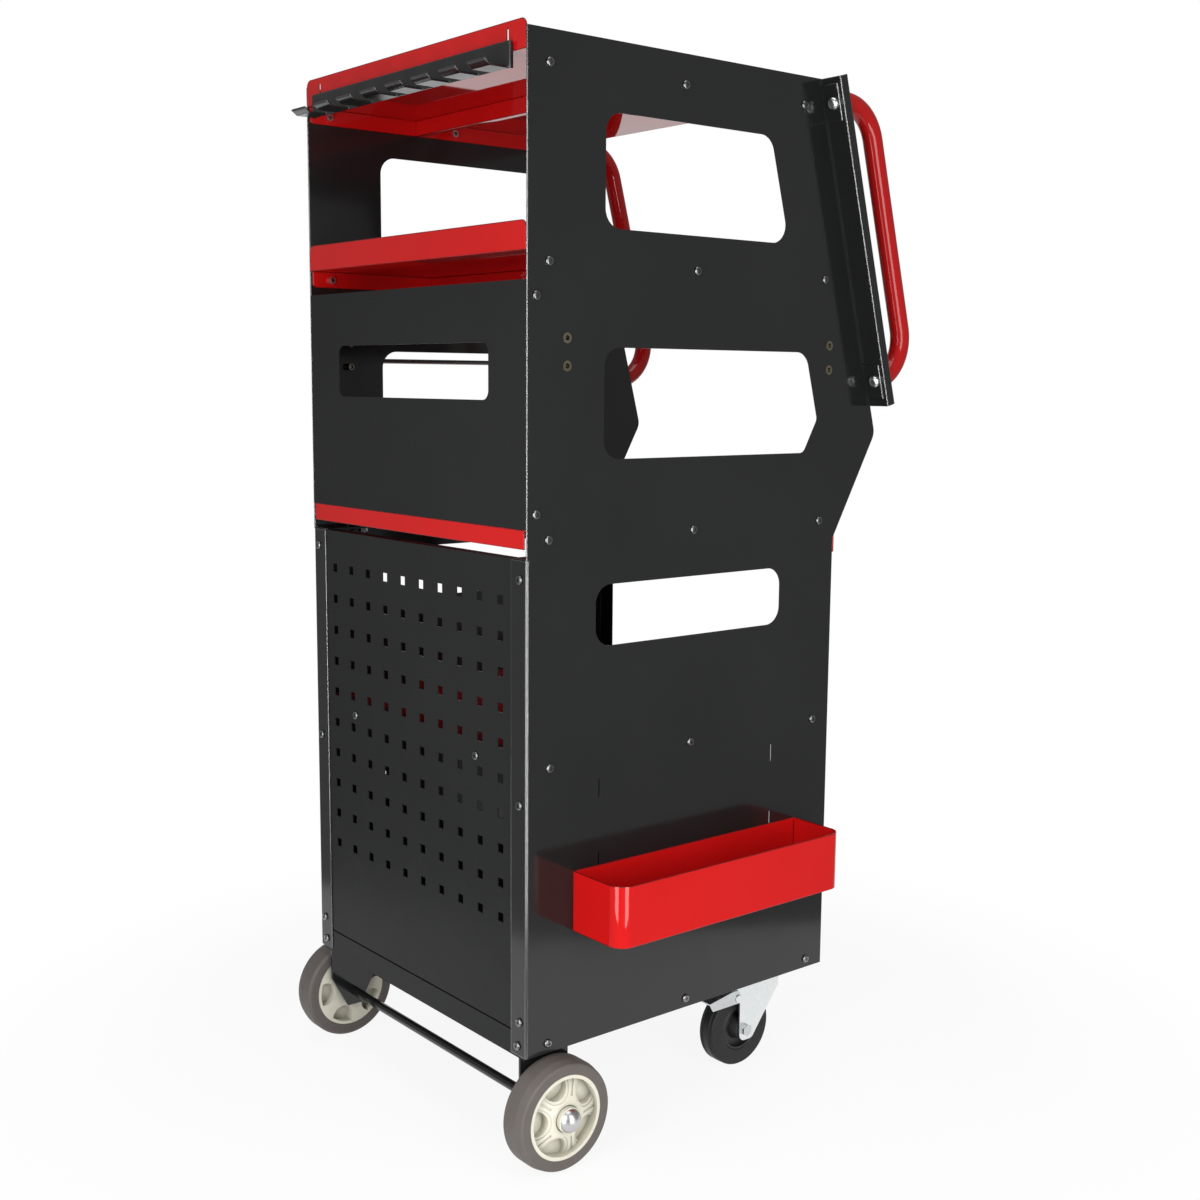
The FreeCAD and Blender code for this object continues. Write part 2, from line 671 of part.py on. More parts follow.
def upper_panel():
    """Left side panel of the upper rack, with its bottom fold and the two tabs for the handle."""
    profile = [(0, JOINT_HEIGHT), (LOWER_DEPTH, JOINT_HEIGHT), (KNEE_DEPTH, KNEE_HEIGHT, KNEE_RADIUS),
               (FRONT_TOP_DEPTH, PANEL_TOP), (0, PANEL_TOP)]
    plate = prism_x(profile, -HALF, -INNER)
    fold = box(-HALF, -HALF + EDGE_FOLD, FOLD_RELIEF, LOWER_DEPTH - FOLD_RELIEF,
               JOINT_HEIGHT, JOINT_HEIGHT + SHEET)
    tabs = []
    last = HANDLE_BOLT_START + HANDLE_BOLT_SPACING + (HANDLE_BOLT_START - TAB_START - TAB_LENGTH)
    for along in (TAB_START, last):
        tabs.append(slant_box(-HALF - TAB_WIDTH, -INNER, TAB_BACK, TAB_BACK + SHEET, along, along + TAB_LENGTH))
    panel = fuse([plate, fold] + tabs)
    panel = panel.cut(prism_x(upper_window(), -HALF - CUT, -INNER + CUT))
    panel = panel.cut(prism_x(middle_window(), -HALF - CUT, -INNER + CUT))
    panel = drilled(panel, side_screws(UPPER_SHELVES, -1) + rear_panel_screws(-1), SCREW_RADIUS + HOLE_GAP)
    panel = drilled(panel, insert_places(-1), INSERT_BARREL + THREAD_GAP)
    panel = drilled(panel, joint_bolt_places(-1), BOLT_RADIUS + HOLE_GAP)
    return panel.cut(handle_drills(HANDLE_BOLT_RADIUS + HOLE_GAP, CHANNEL_FLANGE))


def hanger_slots():
    """Vertical slots for hanging a side tray, in two rows."""
    cuts = []
    for depth in HANGER_SLOT_DEPTHS:
        for bottom in HANGER_SLOT_BOTTOMS:
            cuts.append(box(-HALF - CUT, -INNER + CUT, depth - TRAY_SLOT_WIDTH / 2, depth + TRAY_SLOT_WIDTH / 2,
                            bottom, bottom + HANGER_SLOT_LENGTH))
    return Part.makeCompound(cuts)


def lower_panel():
    """Left side panel of the lower unit, folded inward at the rear, the front and the top."""
    tip = -HALF + EDGE_FOLD
    far = LOWER_DEPTH - SHEET
    section = [(tip, 0), (-HALF, 0, BEND), (-HALF, LOWER_DEPTH, BEND), (tip, LOWER_DEPTH), (tip, far),
               (-INNER, far, BEND - SHEET), (-INNER, SHEET, BEND - SHEET), (tip, SHEET)]
    sides = prism_z(section, PANEL_BOTTOM, JOINT_HEIGHT)
    top = box(-HALF, tip, SHELF_BACK + FOLD_RELIEF, LOWER_DEPTH - FOLD_RELIEF,
              JOINT_HEIGHT - SHEET, JOINT_HEIGHT)
    panel = fuse([sides, top])
    window = rect(LOWER_WINDOW_BACK, LOWER_WINDOW_BACK + LOWER_WINDOW_LENGTH, LOWER_WINDOW_BOTTOM,
                  LOWER_WINDOW_BOTTOM + LOWER_WINDOW_HEIGHT, WINDOW_RADIUS)
    panel = panel.cut(prism_x(window, -HALF - CUT, -INNER + CUT))
    panel = panel.cut(hanger_slots())
    places = side_screws(LOWER_SHELVES, -1) + fold_screws(-1) + rail_screws(-1)
    panel = drilled(panel, places, SCREW_RADIUS + HOLE_GAP)
    return drilled(panel, joint_bolt_places(-1), BOLT_RADIUS + HOLE_GAP)


def shelf(name):
    """Sheet shelf with folded sides; its rear and front edges stand up as lips or fold down."""
    height, back, front, flange, drop, rear_rise, front_rise = SHELVES[name]
    corners = rect(-SHELF_HALF, SHELF_HALF, back, front, 0 if rear_rise > 0 else FOLD_RELIEF)
    pieces = [prism_z(corners, height - SHEET, height)]
    side = [(back + FOLD_RELIEF, height), (front - FOLD_RELIEF, height),
            (front - FOLD_RELIEF, height - flange, FLANGE_RADIUS), (back + FOLD_RELIEF, height - flange, FLANGE_RADIUS)]
    for x in (-SHELF_HALF, SHELF_HALF - SHEET):
        pieces.append(prism_x(side, x, x + SHEET))
    for depth, rise in ((back, rear_rise), (front - SHEET, front_rise)):
        if rise > 0:
            corners = rect(-SHELF_HALF, SHELF_HALF, height - SHEET, height + rise)
            corners[2] = (SHELF_HALF, height + rise, LIP_RADIUS)
            corners[3] = (-SHELF_HALF, height + rise, LIP_RADIUS)
        else:
            corners = rect(-SHELF_HALF + FOLD_RELIEF, SHELF_HALF - FOLD_RELIEF, height + rise, height)
        pieces.append(prism_d(corners, depth, depth + SHEET))
    pan = fuse(pieces)
    places = side_screws([name], -1) + side_screws([name], 1)
    return drilled(pan, places, SCREW_RADIUS + HOLE_GAP)


def top_tray():
    """Top tray with the two slots in its rear lip for the hook rail."""
    low = TOP_TRAY_HEIGHT + HOOK_SLOT_LIFT
    tray = shelf("top_tray")
    for x in (-HALF + HOOK_SLOT_INSET, HALF - HOOK_SLOT_INSET):
        tray = tray.cut(box(x - HOOK_SLOT_WIDTH / 2, x + HOOK_SLOT_WIDTH / 2, -CUT, SHEET + CUT,
                            low, low + HOOK_SLOT_LENGTH))
    return tray


def mid_shelf():
    """Middle shelf of the lower unit, also screwed to the perforated panel."""
    return drilled(shelf("mid_shelf"), peg_shelf_screws(), SCREW_RADIUS + HOLE_GAP)


def under_bolt_places():
    """Bolts through the base pan into the axle brackets and the castor mounts."""
    places = []
    for side in (-1, 1):
        x = side * (HALF - BRACKET_INSET - BRACKET_WIDTH / 2)
        middle = WHEEL_DEPTH
        for offset in (-BRACKET_BOLT_SPACING / 2, BRACKET_BOLT_SPACING / 2):
            places.append((V(x, -(middle + offset), BASE_HEIGHT), V(0, 0, 1)))
        reach = MOUNT_LENGTH / 2 - MOUNT_SHEET - MOUNT_LIP / 2
        for offset in (-reach, reach):
            places.append((V(side * (HALF - CASTOR_INSET), -(CASTOR_DEPTH + offset), BASE_HEIGHT), V(0, 0, 1)))
    return places


def base_pan():
    """Base pan, screwed to the rear folds and bolted to what carries the wheels."""
    pan = drilled(shelf("base_pan"), fold_screws(-1) + fold_screws(1), SCREW_RADIUS + HOLE_GAP)
    return drilled(pan, under_bolt_places(), BOLT_RADIUS + HOLE_GAP)


def stiffener(name):
    """Folded channel across a tray's underside, open to the front."""
    height, back, front = SHELVES[name][:3]
    top = height - SHEET
    bottom = height - SHELF_FLANGE
    reach = SHELF_HALF - SHEET - FIT
    web = (back + front) / 2 - STIFFENER_BACK
    return fuse([box(-reach, reach, web, web + STIFFENER_WIDTH, top - SHEET, top),
                 box(-reach, reach, web, web + SHEET, bottom, top),
                 box(-reach, reach, web, web + STIFFENER_FOOT, bottom, bottom + SHEET)])


def tray_stiffeners():
    """Cross stiffeners of both trays."""
    return Part.makeCompound([stiffener("top_tray"), stiffener("middle_tray")])


def rear_panel():
    """Upper rear panel with its long slot, folded forward at the sides and the top."""
    bottom = BOTTOM_SHELF_HEIGHT + FIT
    top = REAR_PANEL_TOP
    pieces = [box(-SHELF_HALF, SHELF_HALF, 0, SHEET, bottom, top)]
    for x in (-SHELF_HALF, SHELF_HALF - SHEET):
        pieces.append(box(x, x + SHEET, 0, REAR_PANEL_FLANGE, bottom, top - FOLD_RELIEF))
    half = SHELF_HALF - FOLD_RELIEF
    pieces.append(box(-half, half, 0, REAR_PANEL_FOLD, top - SHEET, top))
    panel = fuse(pieces)
    slot = rect(-SLOT_LENGTH / 2, SLOT_LENGTH / 2, SLOT_BOTTOM, SLOT_BOTTOM + SLOT_HEIGHT, SLOT_RADIUS)
    panel = panel.cut(prism_d(slot, -CUT, SHEET + CUT))
    return drilled(panel, rear_panel_screws(-1) + rear_panel_screws(1), SCREW_RADIUS + HOLE_GAP)


def pegboard():
    """Perforated rear panel of the lower unit, behind the side panels' rear folds."""
    half = INNER - BEND
    bottom = BASE_HEIGHT + PEG_BOTTOM_GAP
    sheet = box(-half, half, PEG_BACK, PEG_BACK + SHEET, bottom, JOINT_HEIGHT)
    fold_half = HALF - EDGE_FOLD - FIT
    fold = box(-fold_half, fold_half, PEG_BACK, PEG_BACK + PEG_TOP_FOLD, JOINT_HEIGHT - SHEET, JOINT_HEIGHT)
    board = fuse([sheet, fold])
    first = -PEG_PITCH * (PEG_COUNT - 1) / 2
    holes = []
    for row in range(PEG_COUNT):
        for column in range(PEG_COUNT):
            x = first + column * PEG_PITCH - PEG_HOLE / 2
            z = PEG_TOP_ROW - row * PEG_PITCH - PEG_HOLE / 2
            holes.append(box(x, x + PEG_HOLE, PEG_BACK - CUT, PEG_BACK + SHEET + CUT, z, z + PEG_HOLE))
    board = board.cut(Part.makeCompound(holes))
    places = fold_screws(-1) + fold_screws(1) + peg_shelf_screws()
    return drilled(board, places, SCREW_RADIUS + HOLE_GAP)


def front_rail():
    """Red rail across the front of the joint."""
    half = INNER - FIT
    top = JOINT_HEIGHT + RAIL_RISE
    rail = box(-half, half, LOWER_DEPTH, LOWER_DEPTH + RAIL_THICK, top - RAIL_HEIGHT, top)
    return drilled(rail, rail_screws(-1) + rail_screws(1), SCREW_RADIUS + HOLE_GAP)


def threaded_inserts():
    """Flanged threaded inserts in both upper side panels."""
    solids = []
    for spot, axis in insert_places(-1) + insert_places(1):
        flange = rod(spot, axis, INSERT_FLANGE, INSERT_FLANGE_THICK)
        barrel = rod(spot, axis * -1, INSERT_BARREL, INSERT_LENGTH)
        bore = rod(spot + axis * CUT, axis * -1, INSERT_BORE, INSERT_LENGTH + 2 * CUT)
        solids.append(fuse([flange, barrel]).cut(bore))
    return Part.makeCompound(solids)


def rod_brackets():
    """Two lugged plates on the right panel's inserts."""
    face = HALF
    solids = []
    low = INSERT_BOTTOM - ROD_BRACKET_MARGIN
    high = INSERT_BOTTOM + INSERT_SPACING + ROD_BRACKET_MARGIN
    half = ROD_BRACKET_WIDTH / 2
    lug_top = ROD_HEIGHT + ROD_LUG_HEIGHT / 2
    lug_bottom = ROD_HEIGHT - ROD_LUG_HEIGHT / 2
    tip = face + ROD_OUT + ROD_LUG_HEIGHT / 2
    corners = [(face, lug_bottom), (tip, lug_bottom, ROD_RADIUS), (tip, lug_top, ROD_RADIUS), (face, lug_top)]
    lug_starts = (INSERT_DEPTHS[0] - half, INSERT_DEPTHS[1] + half - ROD_BRACKET_SHEET)
    for depth, start in zip(INSERT_DEPTHS, lug_starts):
        plate = box(face, face + ROD_BRACKET_SHEET, depth - half, depth + half, low, high)
        lug = prism_d(corners, start, start + ROD_BRACKET_SHEET)
        solids.append(fuse([plate, lug]))
    places = insert_places(1)
    bracket = Part.makeCompound(solids)
    bracket = drilled(bracket, places, SCREW_RADIUS + ROD_HOLE_GAP)
    seats = [rod(spot - axis * CUT, axis, INSERT_FLANGE + HOLE_GAP, INSERT_FLANGE_THICK + CUT + FIT)
             for spot, axis in places]
    bracket = bracket.cut(Part.makeCompound(seats))
    return bracket.cut(hanging_rod(ROD_RADIUS + THREAD_GAP))


def hanging_rod(radius=ROD_RADIUS):
    """Round rod along the right panel."""
    start = INSERT_DEPTHS[0] - ROD_OVERHANG
    length = INSERT_DEPTHS[1] - INSERT_DEPTHS[0] + 2 * ROD_OVERHANG
    return rod(V(HALF + ROD_OUT, -start, ROD_HEIGHT), V(0, -1, 0), radius, length)


def rod_screws():
    """Pan-head screws that hold the rod's brackets in the inserts."""
    solids = []
    for spot, axis in insert_places(1):
        seat = spot + axis * ROD_BRACKET_SHEET
        head = rod(seat, axis, SCREW_HEAD_RADIUS, SCREW_HEAD_HEIGHT)
        shank = rod(seat, axis * -1, SCREW_RADIUS, ROD_SCREW_LENGTH)
        screw = fuse([head, shank])
        solids.append(screw.cut(cross_recess(seat + axis * SCREW_HEAD_HEIGHT, axis)))
    return Part.makeCompound(solids)


def handle_channel():
    """Left handle's rail: an angle along the slanted edge, in front of the panel's tabs."""
    outer = -HALF - CHANNEL_WIDTH
    end = CHANNEL_START + CHANNEL_LENGTH
    back = -CHANNEL_SETBACK
    web = slant_box(outer, -HALF - CHANNEL_GAP, back, HANDLE_SEAT, CHANNEL_START, end)
    flange = slant_box(outer, outer + CHANNEL_SHEET, back, back + CHANNEL_FLANGE, CHANNEL_START, end)
    return fuse([web, flange]).cut(handle_drills(HANDLE_BOLT_RADIUS + HOLE_GAP, CHANNEL_FLANGE))


def handle_path(start):
    """Centre line of the left handle from a distance out of the front edge, in the slanted edge's own axes."""
    low, high = [spot.z for spot in handle_bolt_places()]
    bend = HANDLE_BEND
    top = HANDLE_STANDOFF
    diagonal = bend * (1 - math.sqrt(0.5))

    def at(out, along):
        return V(-HANDLE_X, out, along)

    return Part.Wire([
        Part.makeLine(at(start, low), at(top - bend, low)),
        Part.Arc(at(top - bend, low), at(top - diagonal, low + diagonal), at(top, low + bend)).toShape(),
        Part.makeLine(at(top, low + bend), at(top, high - bend)),
        Part.Arc(at(top, high - bend), at(top - diagonal, high - diagonal), at(top - bend, high)).toShape(),
        Part.makeLine(at(top - bend, high), at(start, high))])


def tube(path, radius):
    """Round bar swept along a path that starts straight out of the front edge."""
    start = path.Vertexes[0].Point
    ring = Part.Wire(Part.makeCircle(radius, start, V(0, 1, 0)))
    return path.makePipeShell([ring], True, True)


def handle():
    """Left D-handle: a bent tube with a solid threaded plug in each end."""
    bar = tube(handle_path(HANDLE_SEAT), HANDLE_RADIUS)
    hollow = tube(handle_path(HANDLE_SEAT), HANDLE_RADIUS - HANDLE_WALL)
    plugs = [rod(V(-HANDLE_X, HANDLE_SEAT, spot.z), V(0, 1, 0), HANDLE_RADIUS, HANDLE_PLUG)
             for spot in handle_bolt_places()]
    hollow = hollow.cut(Part.makeCompound(plugs))
    bar = slanted(bar.cut(hollow))
    return bar.cut(handle_drills(HANDLE_BOLT_RADIUS + THREAD_GAP, HANDLE_BOLT_LENGTH))


def handle_bolts():
    """Plated bolts through the tabs and the channels into the handles."""
    solids = []
    for spot in handle_bolt_places():
        seat = spot + V(0, TAB_BACK, 0)
        head = rod(seat, V(0, -1, 0), HANDLE_HEAD_RADIUS, HANDLE_HEAD_HEIGHT)
        crown = [e for e in head.Edges if abs(e.CenterOfMass.y - seat.y + HANDLE_HEAD_HEIGHT) < 0.01]
        head = head.makeFillet(HANDLE_HEAD_HEIGHT * HEAD_ROUND, crown[:1])
        shank = rod(seat, V(0, 1, 0), HANDLE_BOLT_RADIUS, HANDLE_BOLT_LENGTH)
        bolt = slanted(fuse([head, shank]))
        solids += [bolt, mirrored(bolt)]
    return Part.makeCompound(solids)


def hanger(depth_in, depth_out, sheet, bottom, neck, catch):
    """Profile of a hook that passes through a sheet and drops behind it, as (inward, height) corners."""
    top = bottom + HANGER_SEAT + neck
    return [(depth_out, bottom + HANGER_SEAT), (depth_in, bottom + HANGER_SEAT),
            (depth_in, bottom - catch), (depth_in + sheet, bottom - catch),
            (depth_in + sheet, top), (depth_out, top)]


def hook_rail():
    """Rail of bent fingers, hung on the top tray's rear lip."""
    bottom = HOOK_BOTTOM
    top = bottom + HOOK_PLATE_HEIGHT
    span = HOOK_PITCH * (HOOK_COUNT - 1) + HOOK_WIDTH
    half = span / 2 + HOOK_MARGIN
    pieces = [box(-half, half, -HOOK_OUT, -HOOK_STANDOFF, bottom, top)]
    bend = HOOK_OUT + HOOK_REACH
    rise = math.radians(HOOK_TIP_ANGLE)
    reach = V(math.cos(rise), math.sin(rise), 0) * HOOK_TIP
    lift = V(-math.sin(rise), math.cos(rise), 0) * HOOK_SHEET
    profile = [(-HOOK_STANDOFF, bottom), (-bend, bottom), (-bend - reach.x, bottom + reach.y),
               (-bend - reach.x - lift.x, bottom + reach.y + lift.y),
               (-bend + HOOK_SHEET * math.tan(rise / 2), bottom + HOOK_SHEET),
               (-HOOK_STANDOFF, bottom + HOOK_SHEET)]
    for i in range(HOOK_COUNT):
        x = -span / 2 + i * HOOK_PITCH
        pieces.append(prism_x(profile, x, x + HOOK_WIDTH))
    for x in (-half, half - HOOK_SHEET):
        pieces.append(box(x, x + HOOK_SHEET, -HOOK_OUT, -HOOK_RETURN_GAP, bottom, top - HOOK_RETURN_DROP))
    slot = TOP_TRAY_HEIGHT + HOOK_SLOT_LIFT
    hook = hanger(SHEET + HANGER_CLEAR, -HOOK_STANDOFF - FIT, HOOK_HANGER_SHEET, slot, HOOK_NECK, HOOK_CATCH)
    for x in (-HALF + HOOK_SLOT_INSET, HALF - HOOK_SLOT_INSET):
        pieces.append(prism_x(hook, x - HOOK_HANGER_SHEET / 2, x + HOOK_HANGER_SHEET / 2))
    return fuse(pieces)


def side_tray():
    """Open tray with two hangers, on the left lower panel."""
    back = -HALF - SIDE_TRAY_GAP
    front = -HALF - SIDE_TRAY_OUT
    d0 = SIDE_TRAY_BACK
    d1 = SIDE_TRAY_BACK + SIDE_TRAY_LENGTH
    top = SIDE_TRAY_BOTTOM + SIDE_TRAY_HEIGHT

    def loop(inset, radius):
        return [(front + inset, d0 + inset, radius), (back - inset, d0 + inset),
                (back - inset, d1 - inset), (front + inset, d1 - inset, radius)]

    shell = prism_z(loop(0, SIDE_TRAY_RADIUS), SIDE_TRAY_BOTTOM, top)
    hollow = prism_z(loop(SHEET, SIDE_TRAY_RADIUS - SHEET), SIDE_TRAY_BOTTOM + SHEET, top + CUT)
    pieces = [shell.cut(hollow)]
    inward = hanger(SHEET + HANGER_CLEAR, -SIDE_TRAY_GAP - SHEET / 2, TRAY_HANGER_SHEET, HANGER_SLOT_BOTTOMS[0],
                    HANGER_NECK, HANGER_CATCH)
    corners = [(-HALF + step, z) for step, z in inward]
    for depth in HANGER_SLOT_DEPTHS:
        pieces.append(prism_d(corners, depth - TRAY_HANGER_SHEET / 2, depth + TRAY_HANGER_SHEET / 2))
    return fuse(pieces)


def axle_point():
    """A point on the rear axle's centre line."""
    return V(0, -WHEEL_DEPTH, WHEEL_RADIUS)


def axle_bracket():
    """Left axle bracket: a tapered plate with a flange bolted under the base pan."""
    outer = -HALF + BRACKET_INSET
    plate = outer + BRACKET_SHEET
    back = WHEEL_DEPTH - BRACKET_DEPTH / 2
    front = WHEEL_DEPTH + BRACKET_DEPTH / 2
    shoulder = WHEEL_RADIUS + BRACKET_SHOULDER
    tip = WHEEL_RADIUS - BRACKET_TIP_DROP
    step = BASE_HEIGHT - BASE_REAR_FLANGE
    notch = back + BRACKET_NOTCH
    leg = [(notch, BASE_UNDERSIDE), (notch, step), (back, step), (back, shoulder),
           (WHEEL_DEPTH - BRACKET_TIP, tip), (WHEEL_DEPTH + BRACKET_TIP, tip),
           (front, shoulder), (front, BASE_UNDERSIDE)]
    flange = box(outer, outer + BRACKET_WIDTH, notch, front, BASE_UNDERSIDE - BRACKET_SHEET, BASE_UNDERSIDE)
    bracket = fuse([prism_x(leg, outer, plate), flange])
    bracket = bracket.cut(rear_axle(THREAD_GAP))
    return drilled(bracket, under_bolt_places(), BOLT_RADIUS + HOLE_GAP)


def rear_axle(gap=0.0):
    """Steel rod through both brackets and both wheels."""
    reach = CAP_TIP - 2 * CAP_WALL
    return rod(V(-reach, -WHEEL_DEPTH, WHEEL_RADIUS), V(1, 0, 0), AXLE_RADIUS + gap, 2 * reach)


def axle_spacers():
    """Tubes between the brackets and the wheels."""
    inner = HALF - BRACKET_INSET
    outer = HALF - WHEEL_TUCK - CAP_GAP
    ring = rod(V(-outer, -WHEEL_DEPTH, WHEEL_RADIUS), V(1, 0, 0), SPACER_RADIUS, outer - inner)
    ring = ring.cut(rear_axle(THREAD_GAP))
    return Part.makeCompound([ring, mirrored(ring)])


def axle_caps():
    """Domed push-on caps on the axle's ends."""
    bulge = (CAP_RADIUS ** 2 + CAP_HEIGHT ** 2) / (2 * CAP_HEIGHT)
    centre = V(bulge - CAP_TIP, -WHEEL_DEPTH, WHEEL_RADIUS)
    ball = Part.makeSphere(bulge, centre)
    slab = rod(V(-CAP_SEAT, -WHEEL_DEPTH, WHEEL_RADIUS), V(-1, 0, 0), CAP_RADIUS, CAP_HEIGHT + CUT)
    cap = ball.common(slab).cut(rear_axle(THREAD_GAP))
    return Part.makeCompound([cap, mirrored(cap)])


def wheel_tyre():
    """Left rear tyre: a tread that falls towards its outer edge, with rounded shoulders."""
    outer = -WHEEL_FACE
    inner = outer + WHEEL_WIDTH
    profile = [(inner, TYRE_BORE_RADIUS), (inner, WHEEL_RADIUS, TYRE_SHOULDER),
               (outer + TYRE_CROWN, WHEEL_RADIUS, TYRE_CROWN / 2),
               (outer, WHEEL_RADIUS - TYRE_FALL, TYRE_EDGE), (outer, TYRE_BORE_RADIUS)]
    return revolved(profile, axle_point())


def hub_dish(step):
    """What lies outside the hub's dished face, lowered by a step."""
    top = -HUB_END - CUT
    return revolved([(top, HUB_BOSS), (top, HUB_INSIDE), (step + HUB_DISH_DEPTH - HUB_FACE, HUB_INSIDE),
                     (step - HUB_BOSS_RISE - HUB_FACE, HUB_BOSS)], axle_point())


def wheel_hub():
    """Left rear hub: rim, dished face, boss with a collar for the cap, and five spokes between pockets."""
    bore = BUSH_RADIUS + THREAD_GAP
    boss = -HUB_FACE - HUB_BOSS_RISE
    ring = HUB_COLLAR_RADIUS + HUB_GROOVE_WIDTH
    body = revolved([(-HUB_BACK, bore), (-HUB_BACK, TYRE_BORE_RADIUS), (-HUB_FACE, TYRE_BORE_RADIUS),
                     (-HUB_FACE, HUB_INSIDE), (HUB_DISH_DEPTH - HUB_FACE, HUB_INSIDE),
                     (boss, HUB_BOSS), (boss, ring), (boss + HUB_GROOVE_DEPTH, ring),
                     (boss + HUB_GROOVE_DEPTH, HUB_COLLAR_RADIUS),
                     (-HUB_END, HUB_COLLAR_RADIUS, HUB_COLLAR_ROUND), (-HUB_END, bore)], axle_point())
    middle = -(HUB_FACE + HUB_BACK) / 2
    hub = body.cut(hub_scoops(POCKET_RADIUS, -HUB_FACE - CUT, middle - HUB_WEB / 2))
    hub = hub.cut(hub_scoops(POCKET_RADIUS, middle + HUB_WEB / 2, CUT - HUB_BACK))
    ledges = hub_scoops(POCKET_RADIUS + HUB_LEDGE_WIDTH, -HUB_FACE - HUB_BOSS_RISE - CUT, middle)
    hub = hub.cut(ledges.common(hub_dish(HUB_LEDGE_DEPTH)))
    return hub.cut(spoke_grooves().common(hub_dish(SPOKE_GROOVE_DEPTH)))


def hub_scoops(radius, x0, x1):
    """Round bars between the spokes, inside the hub's rim."""
    start = V(x0, -WHEEL_DEPTH, WHEEL_RADIUS)
    inside = rod(start, V(1, 0, 0), HUB_INSIDE, x1 - x0)
    bars = []
    for i in range(SPOKE_COUNT):
        angle = math.radians(HUB_TURN + 360.0 * i / SPOKE_COUNT)
        offset = V(0, -math.sin(angle), math.cos(angle)) * POCKET_CENTRE
        bars.append(rod(start + offset, V(1, 0, 0), radius, x1 - x0).common(inside))
    return fuse(bars)


def spoke_grooves():
    """Bars along the middle of every spoke."""
    bars = []
    corner = V(-HUB_END, -WHEEL_DEPTH - SPOKE_GROOVE_WIDTH / 2, WHEEL_RADIUS + SPOKE_GROOVE_START)
    for i in range(SPOKE_COUNT):
        bar = Part.makeBox(HUB_END - HUB_BACK, SPOKE_GROOVE_WIDTH, HUB_INSIDE - SPOKE_GROOVE_START, corner)
        bar.rotate(axle_point(), V(1, 0, 0), HUB_TURN + 360.0 * (i + 0.5) / SPOKE_COUNT)
        bars.append(bar)
    return Part.makeCompound(bars)


def wheel_bush():
    """Bearing bush of the left rear wheel."""
    bush = rod(V(-HUB_END, -WHEEL_DEPTH, WHEEL_RADIUS), V(1, 0, 0), BUSH_RADIUS, HUB_END - HUB_BACK)
    return bush.cut(rear_axle(AXLE_RUN))


def castor_x():
    """X of the left castor's middle plane."""
    return -HALF + CASTOR_INSET


def castor_axle_point():
    """Middle of the left castor's wheel axle."""
    return V(castor_x(), -CASTOR_AXLE_DEPTH, CASTOR_RADIUS)


def plate_bolt_places():
    """Castor plate bolts of the left castor, heads under the plate."""
    places = []
    for dx in (-PLATE_HOLE_WIDTH / 2, PLATE_HOLE_WIDTH / 2):
        for dd in (-PLATE_HOLE_LENGTH / 2, PLATE_HOLE_LENGTH / 2):
            spot = V(castor_x() + dx, -(CASTOR_DEPTH + dd), CASTOR_HEIGHT - PLATE_THICK)
            places.append((spot, V(0, 0, -1)))
    return places


def both_sides(places):
    """Places on the left and their mirror images on the right."""
    return places + [(V(-spot.x, spot.y, spot.z), V(-axis.x, axis.y, axis.z)) for spot, axis in places]


def castor_mounts():
    """Folded channels between the base pan and the castor plates."""
    x0 = castor_x() - MOUNT_WIDTH / 2
    x1 = castor_x() + MOUNT_WIDTH / 2
    d0 = CASTOR_DEPTH - MOUNT_LENGTH / 2
    d1 = CASTOR_DEPTH + MOUNT_LENGTH / 2
    floor = CASTOR_HEIGHT
    top = BASE_UNDERSIDE
    mount = fuse([box(x0, x1, d0, d1, floor, floor + MOUNT_SHEET),
                  box(x0, x1, d0, d0 + MOUNT_SHEET, floor, top),
                  box(x0, x1, d1 - MOUNT_SHEET, d1, floor, top),
                  box(x0, x1, d0, d0 + MOUNT_SHEET + MOUNT_LIP, top - MOUNT_SHEET, top),
                  box(x0, x1, d1 - MOUNT_SHEET - MOUNT_LIP, d1, top - MOUNT_SHEET, top)])
    mount = drilled(mount, plate_bolt_places() + under_bolt_places(), BOLT_RADIUS + HOLE_GAP)
    return Part.makeCompound([mount, mirrored(mount)])


def castor_plates():
    """Castor top plates with their pressed ball races."""
    x = castor_x()
    top = CASTOR_HEIGHT
    sheet = prism_z(rect(x - PLATE_WIDTH / 2, x + PLATE_WIDTH / 2, CASTOR_DEPTH - PLATE_LENGTH / 2,
                         CASTOR_DEPTH + PLATE_LENGTH / 2, BOLT_HEAD_FLATS), top - PLATE_THICK, top)
    centre = V(x, -CASTOR_DEPTH, top - PLATE_THICK)
    race = Part.makeCone(RACE_RADIUS, RACE_RADIUS - RACE_HEIGHT / 2, RACE_HEIGHT, centre, V(0, 0, -1))
    plate = fuse([sheet, race])
    plate = plate.cut(rod(V(x, -CASTOR_DEPTH, 0), V(0, 0, 1), KINGPIN_RADIUS + THREAD_GAP, top + CUT))
    plate = drilled(plate, plate_bolt_places(), BOLT_RADIUS + HOLE_GAP)
    return Part.makeCompound([plate, mirrored(plate)])


def castor_kingpins():
    """Riveted swivel pins, fixed in the plates, with a head under each fork's crown."""
    head = CROWN_TOP - FORK_SHEET - RACE_GAP - FORK_SHEET
    x = castor_x()
    pin = rod(V(x, -CASTOR_DEPTH, head), V(0, 0, 1), KINGPIN_RADIUS, CASTOR_HEIGHT - head)
    cap = rod(V(x, -CASTOR_DEPTH, head), V(0, 0, 1), KINGPIN_HEAD, FORK_SHEET)
    pin = fuse([pin, cap])
    return Part.makeCompound([pin, mirrored(pin)])


